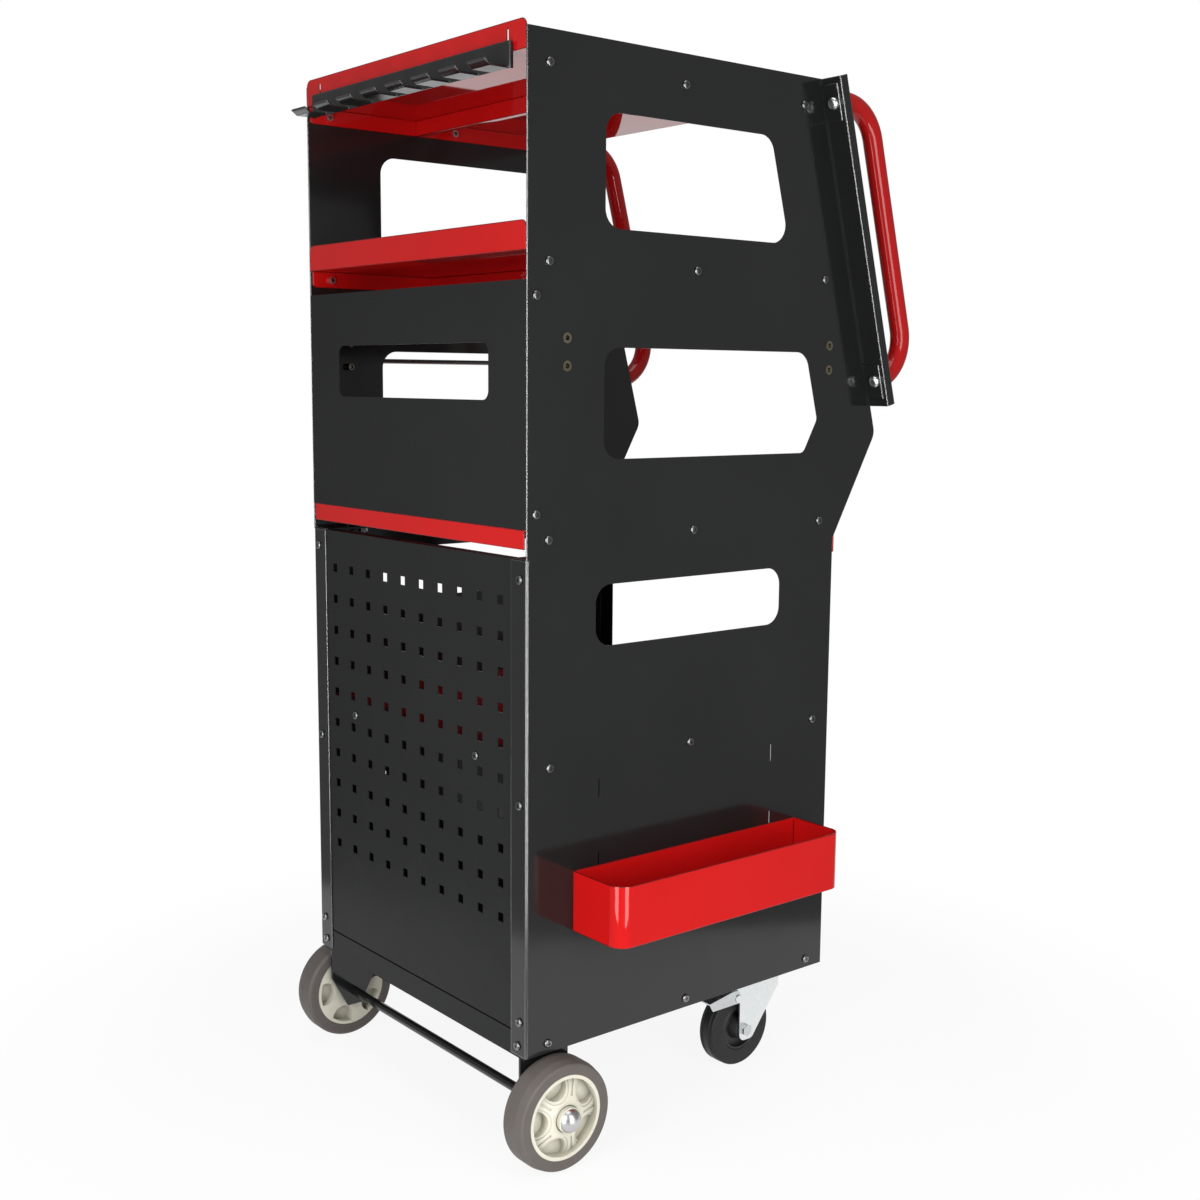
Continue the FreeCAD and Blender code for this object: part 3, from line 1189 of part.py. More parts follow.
def castor_fork():
    """Left castor's fork: a round crown and two tapered legs."""
    x = castor_x()
    axle = CASTOR_AXLE_DEPTH
    low = CASTOR_RADIUS - LEG_LOW
    notch = CASTOR_RADIUS + LEG_REAR_HEIGHT
    toe = CASTOR_DEPTH + LEG_FRONT
    leg = [(axle - LEG_BACK, low, LEG_TIP_ROUND), (axle + LEG_AHEAD, low, LEG_TIP_ROUND),
           (toe, CROWN_TOP - LEG_FRONT_DROP, FORK_SHEET), (toe, CROWN_TOP),
           (axle - LEG_REAR, CROWN_TOP), (axle - LEG_REAR, notch), (axle - LEG_BACK, notch, LEG_BACK / 2)]
    crown = rod(V(x, -CASTOR_DEPTH, CROWN_TOP - FORK_SHEET), V(0, 0, 1), CROWN_RADIUS, FORK_SHEET)
    bridge = box(x - FORK_OUTSIDE, x + FORK_OUTSIDE, axle - LEG_REAR, toe, CROWN_TOP - FORK_SHEET, CROWN_TOP)
    legs = [prism_x(leg, x - FORK_OUTSIDE, x - FORK_INSIDE), prism_x(leg, x + FORK_INSIDE, x + FORK_OUTSIDE)]
    fork = fuse(legs + [crown, bridge])
    fork = fork.cut(rod(V(x, -CASTOR_DEPTH, 0), V(0, 0, 1), KINGPIN_RADIUS + AXLE_RUN, CASTOR_HEIGHT))
    fork = drilled(fork, [(castor_axle_point(), V(1, 0, 0))], CASTOR_BOLT_RADIUS + THREAD_GAP, 4 * FORK_OUTSIDE)
    return drilled(fork, [(brake_pivot(), V(1, 0, 0))], BRAKE_RIVET + THREAD_GAP, 4 * FORK_OUTSIDE)


def castor_axle():
    """Left castor's axle bolt, its nut and the sleeve that the wheel turns on."""
    centre = castor_axle_point()
    reach = FORK_OUTSIDE
    along = V(1, 0, 0)
    head = hexagon(centre - along * reach, along * -1, CASTOR_HEAD_FLATS, CASTOR_HEAD_HEIGHT)
    shank = rod(centre - along * reach, along, CASTOR_BOLT_RADIUS, 2 * reach + CASTOR_HEAD_HEIGHT + BOLT_TAIL)
    nut = hexagon(centre + along * reach, along, CASTOR_HEAD_FLATS, CASTOR_HEAD_HEIGHT)
    nut = nut.cut(rod(centre, along, CASTOR_BOLT_RADIUS + THREAD_GAP, 2 * reach))
    sleeve = rod(centre - along * FORK_INSIDE, along, SLEEVE_RADIUS, 2 * FORK_INSIDE)
    sleeve = sleeve.cut(rod(centre - along * reach, along, CASTOR_BOLT_RADIUS + THREAD_GAP, 2 * reach))
    return Part.makeCompound([fuse([head, shank]), nut, sleeve])


def castor_tyre():
    """Left castor's rubber tyre, with a middle rib between two grooves."""
    x = castor_x()
    half = CASTOR_WIDTH / 2
    low = CASTOR_RADIUS - CASTOR_GROOVE
    valley = CASTOR_RIB / 2 + CASTOR_GROOVE_WIDTH / 2
    edge = CASTOR_EDGE_ROUND
    side = [(half, CASTOR_TYRE_BORE), (half, CASTOR_SHOULDER, CASTOR_SHOULDER_ROUND),
            (CASTOR_RIB / 2 + CASTOR_GROOVE_WIDTH, CASTOR_RADIUS, edge), (valley, low, edge),
            (CASTOR_RIB / 2, CASTOR_RADIUS, edge)]
    profile = [(x - corner[0],) + corner[1:] for corner in side]
    profile += [(x + corner[0],) + corner[1:] for corner in reversed(side)]
    return revolved(profile, castor_axle_point())


def castor_hub():
    """Left castor's hub: grooved rim, dished web and boss."""
    x = castor_x()
    rim = CASTOR_WIDTH / 2
    boss = CASTOR_HUB_WIDTH / 2
    web = CASTOR_HUB_WEB / 2
    inside = CASTOR_TYRE_BORE - CASTOR_RIM
    side = [(boss, SLEEVE_RADIUS + AXLE_RUN), (boss, CASTOR_BOSS), (web, CASTOR_BOSS + CASTOR_BOSS_FLARE),
            (web, inside), (rim, inside),
            (rim, CASTOR_RING - CASTOR_RING_HALF), (rim - CASTOR_RING_DEPTH, CASTOR_RING),
            (rim, CASTOR_RING + CASTOR_RING_HALF), (rim, CASTOR_TYRE_BORE)]
    profile = [(x - step, r) for step, r in side] + [(x + step, r) for step, r in reversed(side)]
    return revolved(profile, castor_axle_point())


def brake_pivot():
    """Pivot of the left castor's brake lever."""
    return V(castor_x(), -(CASTOR_AXLE_DEPTH - BRAKE_PIVOT_BACK), CASTOR_RADIUS + BRAKE_PIVOT_RISE)


def brake_lever():
    """Left castor's brake lever: two cheeks outside the fork, a foot plate and a shoe over the tread."""
    x = castor_x()
    pivot = brake_pivot()
    depth = -pivot.y
    rear = depth - BRAKE_LENGTH
    top = pivot.z + BRAKE_TOP
    bottom = pivot.z - BRAKE_CHEEK_DROP
    plate_front = depth - BRAKE_PLATE_CLEAR
    fall = top - BRAKE_TOP_FALL
    cheek = [(rear + BRAKE_END_CUT, bottom), (depth, bottom, BRAKE_CHEEK_DROP / 2),
             (depth + BRAKE_NOSE, pivot.z, BRAKE_CHEEK_DROP / 2), (depth, top, BRAKE_CHEEK_DROP / 2),
             (plate_front, top), (rear, fall)]
    foot = [(rear, fall), (plate_front, top), (plate_front, top - BRAKE_SHEET), (rear, fall - BRAKE_SHEET)]
    pieces = [prism_x(cheek, x - CHEEK_OUTSIDE, x - CHEEK_INSIDE),
              prism_x(cheek, x + CHEEK_INSIDE, x + CHEEK_OUTSIDE),
              prism_x(foot, x - CHEEK_OUTSIDE, x + CHEEK_OUTSIDE),
              box(x - BRAKE_SHOE_HALF, x + BRAKE_SHOE_HALF, plate_front - BRAKE_SHOE_LENGTH, plate_front,
                  pivot.z + BRAKE_SHOE_BOTTOM, top)]
    return drilled(fuse(pieces), [(pivot, V(1, 0, 0))], BRAKE_RIVET + AXLE_RUN, 4 * CHEEK_OUTSIDE)


def brake_rivets():
    """Rivets that carry the left castor's brake lever, fixed in the fork's legs."""
    pivot = brake_pivot()
    solids = []
    for side in (-1, 1):
        along = V(side, 0, 0)
        start = pivot + along * FORK_INSIDE
        seat = pivot + along * (CHEEK_OUTSIDE + BRAKE_CHEEK_GAP)
        shank = rod(start, along, BRAKE_RIVET, seat.x * side - start.x * side)
        head = rod(seat, along, BRAKE_RIVET_HEAD, BRAKE_RIVET_HEAD_HEIGHT)
        solids.append(fuse([shank, head]))
    return Part.makeCompound(solids)


def model_shift():
    """Moves the middle of the whole part's footprint to the origin."""
    left = HALF + SIDE_TRAY_OUT
    right = max(CAP_TIP, HALF + ROD_OUT + ROD_LUG_HEIGHT / 2, HALF + CHANNEL_WIDTH)
    tip = math.radians(HOOK_TIP_ANGLE)
    rear = max(WHEEL_RADIUS - WHEEL_DEPTH, HOOK_OUT + HOOK_REACH + HOOK_TIP * math.cos(tip))
    slant = math.radians(SLANT)
    bend_along = HANDLE_BOLT_START + HANDLE_BOLT_SPACING - HANDLE_BEND
    bend_out = HANDLE_STANDOFF - HANDLE_BEND
    front = (FRONT_TOP_DEPTH + bend_along * math.sin(slant) + bend_out * math.cos(slant)
             + HANDLE_BEND + HANDLE_RADIUS)
    return V((left - right) / 2, (front - rear) / 2, 0)


def bolt_layers():
    """Thickness under the base pan's bolts."""
    return SHEET + BRACKET_SHEET


def nodes():
    """Every piece of the trolley by name."""
    left = {
        "upper_panel": upper_panel(), "lower_panel": lower_panel(), "handle_channel": handle_channel(),
        "handle": handle(), "axle_bracket": axle_bracket(), "wheel_tyre": wheel_tyre(),
        "wheel_hub": wheel_hub(), "wheel_bush": wheel_bush(), "castor_fork": castor_fork(),
        "castor_axle": castor_axle(), "castor_tyre": castor_tyre(), "castor_hub": castor_hub(),
        "brake_lever": brake_lever(), "brake_rivets": brake_rivets(),
    }
    pieces = {}
    for name, shape in left.items():
        pieces[name + "_left"] = shape
        pieces[name + "_right"] = mirrored(shape)
    joints = joint_bolt_places(-1) + joint_bolt_places(1)
    plates = both_sides(plate_bolt_places())
    pieces.update({
        "rear_panel": rear_panel(), "pegboard": pegboard(), "top_tray": top_tray(),
        "middle_tray": shelf("middle_tray"), "bottom_shelf": shelf("bottom_shelf"), "mid_shelf": mid_shelf(),
        "base_pan": base_pan(), "tray_stiffeners": tray_stiffeners(), "front_rail": front_rail(),
        "panel_screws": panel_screws(), "panel_nuts": panel_nuts(),
        "joint_bolts": bolts(joints, 2 * SHEET), "joint_nuts": bolt_nuts(joints, 2 * SHEET),
        "threaded_inserts": threaded_inserts(), "hanging_rod": hanging_rod(), "rod_brackets": rod_brackets(),
        "rod_screws": rod_screws(), "handle_bolts": handle_bolts(), "hook_rail": hook_rail(),
        "side_tray": side_tray(), "rear_axle": rear_axle(), "axle_spacers": axle_spacers(),
        "axle_caps": axle_caps(), "castor_mounts": castor_mounts(), "castor_plates": castor_plates(),
        "castor_kingpins": castor_kingpins(),
        "underside_bolts": bolts(under_bolt_places(), bolt_layers()),
        "underside_nuts": bolt_nuts(under_bolt_places(), bolt_layers()),
        "castor_bolts": bolts(plates, PLATE_THICK + MOUNT_SHEET),
        "castor_bolt_nuts": bolt_nuts(plates, PLATE_THICK + MOUNT_SHEET),
    })
    return pieces


def main():
    os.makedirs("parts", exist_ok=True)
    shift = model_shift()
    for name, shape in nodes().items():
        placed = shape.translated(shift)
        placed.exportStep("parts/" + name + ".step")
        print(name, placed.isValid(), len(placed.Solids), round(placed.Volume / 1000, 2), "cm3")


if __name__ == "__main__":
    main()
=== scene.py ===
import json
import math

import bpy
from mathutils import Matrix, Vector


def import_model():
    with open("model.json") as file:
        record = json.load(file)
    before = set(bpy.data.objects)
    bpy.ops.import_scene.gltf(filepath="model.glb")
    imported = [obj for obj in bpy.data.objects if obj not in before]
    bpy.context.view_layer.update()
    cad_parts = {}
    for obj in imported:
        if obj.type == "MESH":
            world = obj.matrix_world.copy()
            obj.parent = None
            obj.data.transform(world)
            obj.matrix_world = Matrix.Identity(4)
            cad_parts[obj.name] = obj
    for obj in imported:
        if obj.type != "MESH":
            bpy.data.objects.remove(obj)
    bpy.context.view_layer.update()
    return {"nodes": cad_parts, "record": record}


# The diagnostics trolley's looks: a material for every node, edge rounding, floor, light and camera.
# Metres, +Z up, the photographed corner is the rear left one.

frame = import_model()
SLOT_OF = {row["node"]: row["material_slot"] for row in frame["record"]["subparts"]}

# Camera, fitted to the perforated panel's holes in the photo
CAMERA_PLACE = Vector((-1.4414, 1.18045, 0.838))
CAMERA_YAW = math.radians(39.14)
CAMERA_PITCH = math.radians(8.06)
CAMERA_ROLL = math.radians(0.44)
CAMERA_LENS = 46.26
CAMERA_SENSOR = 36.0
CAMERA_SHIFT = 0.0033

# Stage: a floor and a backdrop as wide as the picture, seen as white outside the trolley's shadow.
# Near, away and spread are counted from the point below the camera, spread for each metre ahead of it.
WHITE = (1.0, 1.0, 1.0, 1.0)
STAGE_COLOUR = (0.86, 0.86, 0.86, 1.0)
STAGE_ROUGH = 0.9
STAGE_SPREAD = 0.435
FLOOR_NEAR = 1.30
FLOOR_WHITE = 0.90
SHADOW_REACH = (0.45, 0.95)
BACKDROP_AWAY = 6.0
BACKDROP_TOP = 2.6
BACKDROP_WHITE = 1.0

# Light: a dim room, a tall light on each side of the camera and a wide one overhead
ROOM_LIGHT = 0.28
LIGHT_ASIDE = 0.65
LIGHT_AHEAD = 0.67
LIGHT_HEIGHT = 0.62
LIGHT_SIZE = (0.50, 1.45)
LIGHT_POWER = 13.4
CEILING_PLACE = Vector((-0.3, 0.3, 3.4))
CEILING_AIM = Vector((-0.3, 0.3, 0.0))
CEILING_SIZE = (2.0, 2.0)
CEILING_POWER = 30.0

# Noises, each with its scale for a metre, its detail and, where it isn't the usual one, its roughness.
# The mottle of rubber and plastic has each material's own scale.
COAT_CLOUD = (6.0, 3.0)
COAT_STREAK = (25.0, 4.0)
COAT_PEEL = (420.0, 1.0)
METAL_CLOUD = (60.0, 4.0, 0.6)
METAL_STREAK = (180.0, 3.0)
METAL_GRAIN = (900.0, 2.0)
MOULD_STREAK = (300.0, 3.0)
MOULD_GRAIN = (1500.0, 2.0)
MOTTLE_DETAIL = (5.0, 0.6)

# The part of a noise over which a colour or a gloss changes
CLOUD_RANGE = (0.3, 0.7)
MOTTLE_RANGE = (0.25, 0.75)

# Least and greatest roughness, as shares of a material's own
COAT_GLOSS = (0.85, 1.15)
METAL_GLOSS = (0.8, 1.25)
MOULD_GLOSS = (0.9, 1.1)
LACQUERED_ROUGH = 0.4

# Height of the fine relief
COAT_RELIEF = 0.0002
METAL_RELIEF = 0.0001
MOULD_RELIEF = 0.0002

# Painted highlight: a bright metal line along edges and folds that stands in for the lights' highlights.
# Its width, the cosines of the surface's turn at which it starts and is full, its gloss and colours,
# and the planes beyond which the black sheets have it
EDGE_HIGHLIGHT_RADIUS = 0.0018
HIGHLIGHT_STARTS = 0.9995
HIGHLIGHT_FULL = 0.985
HIGHLIGHT_SAMPLES = 4
HIGHLIGHT_ROUGH = 0.2
HIGHLIGHT_BEHIND = 0.2564
HIGHLIGHT_LEFT = -0.2006
HIGHLIGHT_RIGHT = 0.2383
BLACK_HIGHLIGHT = (0.36, 0.36, 0.366)
HOOK_HIGHLIGHT = (0.15, 0.15, 0.153)
RED_HIGHLIGHT = (0.34, 0.06, 0.06)

# Painted shade in the hollows of moulded plastic: how near the next wall is where it shows
HOLLOW_REACH = 0.012
HOLLOW_SAMPLES = 8

# Edges that turn by more than EDGE_ANGLE are rounded, faces that turn by less than FACE_ANGLE are one face
EDGE_ANGLE = math.radians(40)
EDGE_STEPS = 2
FACE_ANGLE = math.radians(0.5)
FACE_WEIGHT = 50
WELD_REACH = 1e-6


def new_material(name):
    """Empty node material with its Principled shader."""
    mat = bpy.data.materials.new(name)
    mat.use_nodes = True
    tree = mat.node_tree
    return mat, tree.nodes, tree.links, tree.nodes["Principled BSDF"]


def noise(nodes, links, scale, detail, roughness=0.5):
    """Noise over the object's own coordinates, in metres."""
    coords = nodes.new("ShaderNodeTexCoord")
    tex = nodes.new("ShaderNodeTexNoise")
    tex.inputs["Scale"].default_value = scale
    tex.inputs["Detail"].default_value = detail
    tex.inputs["Roughness"].default_value = roughness
    links.new(coords.outputs["Object"], tex.inputs["Vector"])
    return tex.outputs["Fac"]


def ramp(nodes, links, source, places, colours):
    """Goes from one colour to another between two places on a 0 to 1 value."""
    node = nodes.new("ShaderNodeValToRGB")
    for stop, place, colour in zip(node.color_ramp.elements, places, colours):
        stop.position = place
        stop.color = (*colour, 1)
    links.new(source, node.inputs["Fac"])
    return node.outputs["Color"]


def map_range(nodes, links, source, given, wanted, kind="LINEAR"):
    """Maps a value from one range to another."""
    node = nodes.new("ShaderNodeMapRange")
    node.interpolation_type = kind
    for label, value in zip(("From Min", "From Max", "To Min", "To Max"), (*given, *wanted)):
        node.inputs[label].default_value = value
    links.new(source, node.inputs["Value"])
    return node.outputs["Result"]


def uneven(nodes, links, pattern, rough, shares):
    """Roughness that wavers with a noise between two shares of itself."""
    least, greatest = shares
    source = noise(nodes, links, *pattern)
    return map_range(nodes, links, source, CLOUD_RANGE, (rough * least, rough * greatest))


def bump(nodes, links, shader, source, strength, distance):
    """Fine relief from a height."""
    node = nodes.new("ShaderNodeBump")
    node.inputs["Strength"].default_value = strength
    node.inputs["Distance"].default_value = distance
    links.new(source, node.inputs["Height"])
    links.new(node.outputs["Normal"], shader.inputs["Normal"])


def calculate(nodes, links, operation, first, second):
    """Result of a sum on two values, each an output or a number."""
    node = nodes.new("ShaderNodeMath")
    node.operation = operation
    for socket, value in zip(node.inputs, (first, second)):
        if isinstance(value, float):
            socket.default_value = value
        else:
            links.new(value, socket)
    return node.outputs["Value"]


def mix_surface(nodes, links, share, first, second):
    """Makes the surface a mix of two shaders, with the second one's share."""
    mix = nodes.new("ShaderNodeMixShader")
    links.new(share, mix.inputs["Fac"])
    links.new(first, mix.inputs[1])
    links.new(second, mix.inputs[2])
    links.new(mix.outputs["Shader"], nodes["Material Output"].inputs["Surface"])


def outer_zone(nodes, links):
    """1 on the rear edge of the cabinet and outside its side panels, 0 elsewhere: where the black sheets get
    painted edge highlights.
    """
    coords = nodes.new("ShaderNodeTexCoord")
    split = nodes.new("ShaderNodeSeparateXYZ")
    links.new(coords.outputs["Object"], split.inputs["Vector"])
    behind = calculate(nodes, links, "GREATER_THAN", split.outputs["Y"], HIGHLIGHT_BEHIND)
    left = calculate(nodes, links, "LESS_THAN", split.outputs["X"], HIGHLIGHT_LEFT)
    right = calculate(nodes, links, "GREATER_THAN", split.outputs["X"], HIGHLIGHT_RIGHT)
    return calculate(nodes, links, "MAXIMUM", behind, calculate(nodes, links, "MAXIMUM", left, right))


def painted_edge_highlights(nodes, links, shader, colour, outer):
    """Painted highlight: a bright metal line along edges and folds that stands in for the lights' highlights.
    """
    soft = nodes.new("ShaderNodeBevel")
    soft.samples = HIGHLIGHT_SAMPLES
    soft.inputs["Radius"].default_value = EDGE_HIGHLIGHT_RADIUS
    plain = nodes.new("ShaderNodeNewGeometry")
    same = nodes.new("ShaderNodeVectorMath")
    same.operation = "DOT_PRODUCT"
    links.new(soft.outputs["Normal"], same.inputs[0])
    links.new(plain.outputs["Normal"], same.inputs[1])
    share = map_range(nodes, links, same.outputs["Value"], (HIGHLIGHT_STARTS, HIGHLIGHT_FULL), (0.0, 1.0))
    if outer:
        share = calculate(nodes, links, "MULTIPLY", share, outer_zone(nodes, links))
    # Bright metal that paints the edge highlights
    highlight_metal = nodes.new("ShaderNodeBsdfPrincipled")
    highlight_metal.inputs["Base Color"].default_value = (*colour, 1)
    highlight_metal.inputs["Metallic"].default_value = 1.0
    highlight_metal.inputs["Roughness"].default_value = HIGHLIGHT_ROUGH
    links.new(soft.outputs["Normal"], highlight_metal.inputs["Normal"])
    mix_surface(nodes, links, share, shader.outputs["BSDF"], highlight_metal.outputs["BSDF"])


def powder_coat(name, dark, light, rough, specular, peel, lacquer=0.0, highlight_colour=None, outer=False):
    """Sprayed coat with slight cloudiness, a fine orange peel and, if asked, lacquer and painted edge
    highlights.
    """
    mat, nodes, links, shader = new_material(name)
    cloud = noise(nodes, links, *COAT_CLOUD)
    links.new(ramp(nodes, links, cloud, CLOUD_RANGE, (dark, light)), shader.inputs["Base Color"])
    shader.inputs["Specular IOR Level"].default_value = specular
    gloss = "Roughness"
    if lacquer:
        shader.inputs["Roughness"].default_value = LACQUERED_ROUGH
        shader.inputs["Coat Weight"].default_value = lacquer
        gloss = "Coat Roughness"
    links.new(uneven(nodes, links, COAT_STREAK, rough, COAT_GLOSS), shader.inputs[gloss])
    bump(nodes, links, shader, noise(nodes, links, *COAT_PEEL), peel, COAT_RELIEF)
    if highlight_colour:
        painted_edge_highlights(nodes, links, shader, highlight_colour, outer)
    return mat


def metal(name, dark, light, rough, grain):
    """Plated or polished metal with faint cloudiness and grain."""
    mat, nodes, links, shader = new_material(name)
    cloud = noise(nodes, links, *METAL_CLOUD)
    links.new(ramp(nodes, links, cloud, CLOUD_RANGE, (dark, light)), shader.inputs["Base Color"])
    links.new(uneven(nodes, links, METAL_STREAK, rough, METAL_GLOSS), shader.inputs["Roughness"])
    shader.inputs["Metallic"].default_value = 1.0
    bump(nodes, links, shader, noise(nodes, links, *METAL_GRAIN), grain, METAL_RELIEF)
    return mat


def moulded(name, dark, light, rough, specular, grain, mottle, hollow_shade=0.0):
    """Moulded rubber or plastic with a fine texture, slight mottling and, if asked, painted shade in its
    hollows.
    """
    mat, nodes, links, shader = new_material(name)
    cloud = noise(nodes, links, mottle, *MOTTLE_DETAIL)
    colour = ramp(nodes, links, cloud, MOTTLE_RANGE, (dark, light))
    if hollow_shade:
        # Painted shade: the colour darkens where the next wall is near
        hollow = nodes.new("ShaderNodeAmbientOcclusion")
        hollow.samples = HOLLOW_SAMPLES
        hollow.inputs["Distance"].default_value = HOLLOW_REACH
        links.new(colour, hollow.inputs["Color"])
        mix = nodes.new("ShaderNodeMix")
        mix.data_type = "RGBA"
        mix.inputs["Factor"].default_value = hollow_shade
        links.new(colour, mix.inputs["A"])
        links.new(hollow.outputs["Color"], mix.inputs["B"])
        colour = mix.outputs["Result"]
    links.new(colour, shader.inputs["Base Color"])
    links.new(uneven(nodes, links, MOULD_STREAK, rough, MOULD_GLOSS), shader.inputs["Roughness"])
    shader.inputs["Specular IOR Level"].default_value = specular
    bump(nodes, links, shader, noise(nodes, links, *MOULD_GRAIN), grain, MOULD_RELIEF)
    return mat


# The edge colours given to black_coat, black_matt and red_coat are painted highlights along their edges
MATERIALS = {
    "black_coat": powder_coat("black_coat", (0.0108, 0.0112, 0.0112), (0.0130, 0.0134, 0.0134),
                              rough=0.12, specular=0.5, peel=0.03, highlight_colour=BLACK_HIGHLIGHT, outer=True),
    "black_satin": powder_coat("black_satin", (0.0200, 0.0204, 0.0206), (0.0220, 0.0224, 0.0226),
                               rough=0.25, specular=0.06, peel=0.05),
    "black_matt": powder_coat("black_matt", (0.0150, 0.0154, 0.0156), (0.0170, 0.0174, 0.0176),
                              rough=0.22, specular=0.5, peel=0.05, highlight_colour=HOOK_HIGHLIGHT),
    "red_coat": powder_coat("red_coat", (0.53, 0.006, 0.006), (0.57, 0.008, 0.008),
                            rough=0.03, specular=0.0, peel=0.03, lacquer=0.80, highlight_colour=RED_HIGHLIGHT),
    # Painted shade: a darker copy of the red coat for the handles, which are lit less than the rest
    "red_coat_shaded": powder_coat("red_coat_shaded", (0.37, 0.006, 0.006), (0.41, 0.008, 0.008),
                            rough=0.08, specular=0.0, peel=0.04, lacquer=0.7),
    "zinc": metal("zinc", (0.80, 0.83, 0.83), (0.84, 0.87, 0.87), rough=0.28, grain=0.0),
    "dull_zinc": metal("dull_zinc", (0.62, 0.64, 0.65), (0.66, 0.68, 0.69), rough=0.30, grain=0.0),
    "dark_zinc": metal("dark_zinc", (0.20, 0.202, 0.205), (0.28, 0.282, 0.286), rough=0.12, grain=0.03),
    "brass": metal("brass", (0.28, 0.26, 0.18), (0.36, 0.33, 0.24), rough=0.22, grain=0.05),
    "chrome": metal("chrome", (0.56, 0.56, 0.57), (0.62, 0.62, 0.63), rough=0.30, grain=0.01),
    "grey_rubber": moulded("grey_rubber", (0.104, 0.090, 0.083), (0.122, 0.107, 0.098),
                           rough=0.55, specular=0.35, grain=0.10, mottle=40.0),
    "dark_rubber": moulded("dark_rubber", (0.011, 0.011, 0.012), (0.016, 0.016, 0.017),
                           rough=0.45, specular=0.30, grain=0.10, mottle=60.0),
    "cream_plastic": moulded("cream_plastic", (0.65, 0.625, 0.52), (0.71, 0.685, 0.58),
                             rough=0.38, specular=0.4, grain=0.04, mottle=30.0, hollow_shade=0.65),
    "dark_plastic": moulded("dark_plastic", (0.016, 0.016, 0.017), (0.022, 0.022, 0.023),
                            rough=0.4, specular=0.35, grain=0.06, mottle=50.0),
    "nylon": moulded("nylon", (0.70, 0.70, 0.66), (0.76, 0.76, 0.72),
                     rough=0.4, specular=0.4, grain=0.04, mottle=60.0),
}

# Width of the rounding on the edges of each slot's nodes
EDGE_ROUND = {"black_coat": 0.00045, "red_coat": 0.00045, "zinc": 0.0003, "dark_zinc": 0.0003,
              "chrome": 0.0003, "grey_rubber": 0.0008, "dark_rubber": 0.0004, "cream_plastic": 0.0006,
              "dark_plastic": 0.0005, "nylon": 0.0003}

# Nodes whose edges stay as they are: small fasteners, the tubular handles and the perforated panel
PLAIN_EDGES = ("panel_screws", "panel_nuts", "joint_bolts", "joint_nuts", "underside_bolts", "underside_nuts",
               "castor_bolts", "castor_bolt_nuts", "threaded_inserts", "handle_left", "handle_right",
               "pegboard")

# Nodes that look different from the rest of their slot; the handles' darker red is painted shade
LOOK = {"pegboard": "black_satin", "base_pan": "black_satin", "rear_panel": "black_satin",
        "hook_rail": "black_matt", "threaded_inserts": "brass",
        "brake_lever_left": "dull_zinc", "brake_lever_right": "dull_zinc",
        "castor_axle_left": "dull_zinc", "castor_axle_right": "dull_zinc",
        "handle_left": "red_coat_shaded", "handle_right": "red_coat_shaded"}


def dress(name, obj):
    """Gives a node its material and, unless they stay plain, rounded edges between even faces."""
    slot = SLOT_OF[name]
    obj.data.materials.clear()
    obj.data.materials.append(MATERIALS[LOOK.get(name, slot)])
    if name in PLAIN_EDGES:
        return
    weld = obj.modifiers.new("weld", "WELD")
    weld.merge_threshold = WELD_REACH
    flat = obj.modifiers.new("faces", "DECIMATE")
    flat.decimate_type = "DISSOLVE"
    flat.angle_limit = FACE_ANGLE
    edge = obj.modifiers.new("edges", "BEVEL")
    edge.width = EDGE_ROUND[slot]
    edge.segments = EDGE_STEPS
    edge.limit_method = "ANGLE"
    edge.angle_limit = EDGE_ANGLE
    level = obj.modifiers.new("flats", "WEIGHTED_NORMAL")
    level.weight = FACE_WEIGHT


def view_axes():
    """The camera's directions ahead, to the right and up."""
    level = math.cos(CAMERA_PITCH)
    ahead = Vector((math.cos(CAMERA_YAW) * level, -math.sin(CAMERA_YAW) * level, -math.sin(CAMERA_PITCH)))
    right = ahead.cross(Vector((0, 0, 1))).normalized()
    up = right.cross(ahead)
    right, up = (right * math.cos(CAMERA_ROLL) + up * math.sin(CAMERA_ROLL),
                 up * math.cos(CAMERA_ROLL) - right * math.sin(CAMERA_ROLL))
    return ahead, right, up


def floor_axes():
    """The point below the camera, and the directions ahead and to the right of it along the floor."""
    ahead, right, _ = view_axes()
    foot = Vector((CAMERA_PLACE.x, CAMERA_PLACE.y, 0))
    return foot, Vector((ahead.x, ahead.y, 0)).normalized(), Vector((right.x, right.y, 0)).normalized()


def camera():
    """The photo's camera."""
    ahead, right, up = view_axes()
    data = bpy.data.cameras.new("camera")
    data.sensor_width = CAMERA_SENSOR
    data.lens = CAMERA_LENS
    data.shift_x = CAMERA_SHIFT
    obj = bpy.data.objects.new("camera", data)
    turn = Matrix((right, up, -ahead)).transposed().to_4x4()
    obj.matrix_world = Matrix.Translation(CAMERA_PLACE) @ turn
    bpy.context.collection.objects.link(obj)
    bpy.context.scene.camera = obj


def world():
    """Plain soft light from all around."""
    scene_world = bpy.data.worlds.new("studio")
    bpy.context.scene.world = scene_world
    scene_world.use_nodes = True
    back = scene_world.node_tree.nodes["Background"]
    back.inputs["Color"].default_value = WHITE
    back.inputs["Strength"].default_value = ROOM_LIGHT


def seen_white(nodes, links):
    """1 on rays from the camera and in mirrors and glass, 0 on rays that light the object."""
    path = nodes.new("ShaderNodeLightPath")
    seen = path.outputs["Is Camera Ray"]
    for label in ("Is Glossy Ray", "Is Transmission Ray"):
        seen = calculate(nodes, links, "MAXIMUM", seen, path.outputs[label])
    return seen


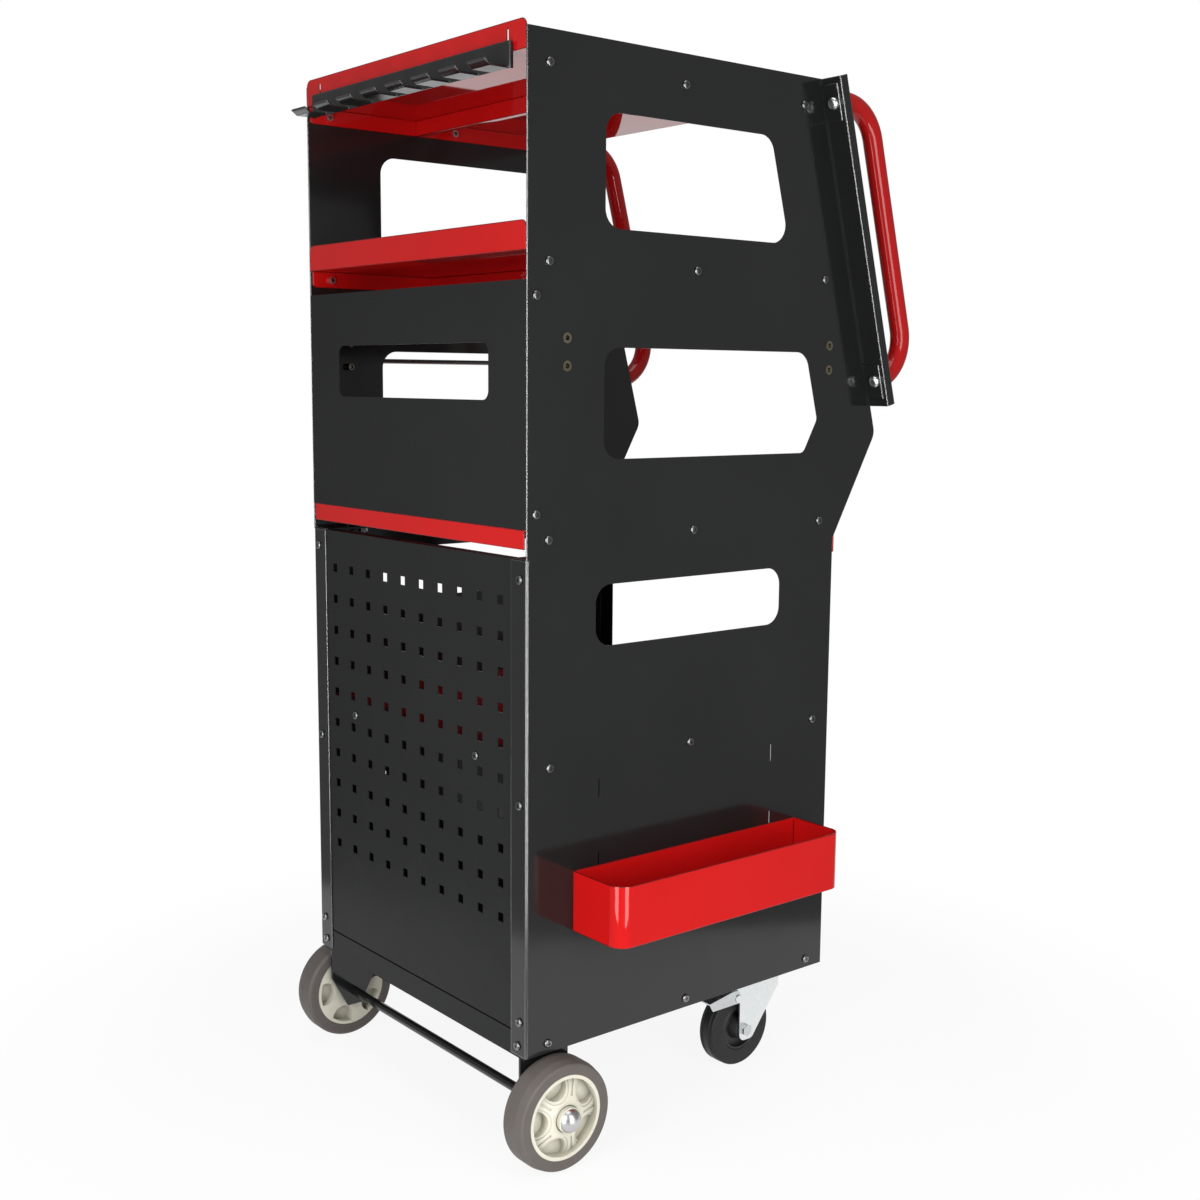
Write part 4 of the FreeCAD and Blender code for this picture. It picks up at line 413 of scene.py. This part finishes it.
def pale(name, white):
    """Pale stage material that is seen as white; close to the trolley it keeps some of its own shading."""
    mat, nodes, links, shader = new_material(name)
    shader.inputs["Base Color"].default_value = STAGE_COLOUR
    shader.inputs["Roughness"].default_value = STAGE_ROUGH
    shader.inputs["Specular IOR Level"].default_value = 0.0
    coords = nodes.new("ShaderNodeTexCoord")
    away = nodes.new("ShaderNodeVectorMath")
    away.operation = "LENGTH"
    links.new(coords.outputs["Object"], away.inputs[0])
    share = map_range(nodes, links, away.outputs["Value"], SHADOW_REACH, (white, 1.0), "SMOOTHSTEP")
    seen = calculate(nodes, links, "MULTIPLY", share, seen_white(nodes, links))
    glow = nodes.new("ShaderNodeEmission")
    glow.inputs["Color"].default_value = WHITE
    mix_surface(nodes, links, seen, shader.outputs["BSDF"], glow.outputs["Emission"])
    return mat


def stage_piece(name, corners, white):
    """Flat piece of the studio."""
    mesh = bpy.data.meshes.new(name)
    mesh.from_pydata(corners, [], [(0, 1, 2, 3)])
    obj = bpy.data.objects.new(name, mesh)
    bpy.context.collection.objects.link(obj)
    mesh.materials.append(pale(name, white))


def studio():
    """Floor and backdrop that fill the picture."""
    foot, ahead, right = floor_axes()

    def spot(away, side, height=0.0):
        """Point on the left (-1) or right (1) border of the picture."""
        return foot + ahead * away + right * side * STAGE_SPREAD * away + Vector((0, 0, height))

    near, far, top = FLOOR_NEAR, BACKDROP_AWAY, BACKDROP_TOP
    floor = [spot(near, -1), spot(near, 1), spot(far, 1), spot(far, -1)]
    backdrop = [spot(far, -1), spot(far, 1), spot(far, 1, top), spot(far, -1, top)]
    stage_piece("floor", floor, FLOOR_WHITE)
    stage_piece("backdrop", backdrop, BACKDROP_WHITE)


def area_light(name, place, target, size, power):
    """Rectangular soft light at a place, turned to a target."""
    data = bpy.data.lights.new(name, "AREA")
    data.shape = "RECTANGLE"
    data.size, data.size_y = size
    data.energy = power
    obj = bpy.data.objects.new(name, data)
    obj.location = place
    obj.rotation_euler = (target - place).to_track_quat("-Z", "Y").to_euler()
    bpy.context.collection.objects.link(obj)


def lights():
    """A tall light on each side of the camera, turned to the trolley, and a wide one overhead."""
    foot, ahead, right = floor_axes()
    middle = Vector((0, 0, LIGHT_HEIGHT))
    for name, side in (("light_left", -1), ("light_right", 1)):
        place = foot + right * side * LIGHT_ASIDE + ahead * LIGHT_AHEAD + middle
        area_light(name, place, middle, LIGHT_SIZE, LIGHT_POWER)
    area_light("ceiling", CEILING_PLACE, CEILING_AIM, CEILING_SIZE, CEILING_POWER)


for node_name, node_object in frame["nodes"].items():
    dress(node_name, node_object)
camera()
world()
studio()
lights()

bpy.context.scene.view_settings.view_transform = "Standard"
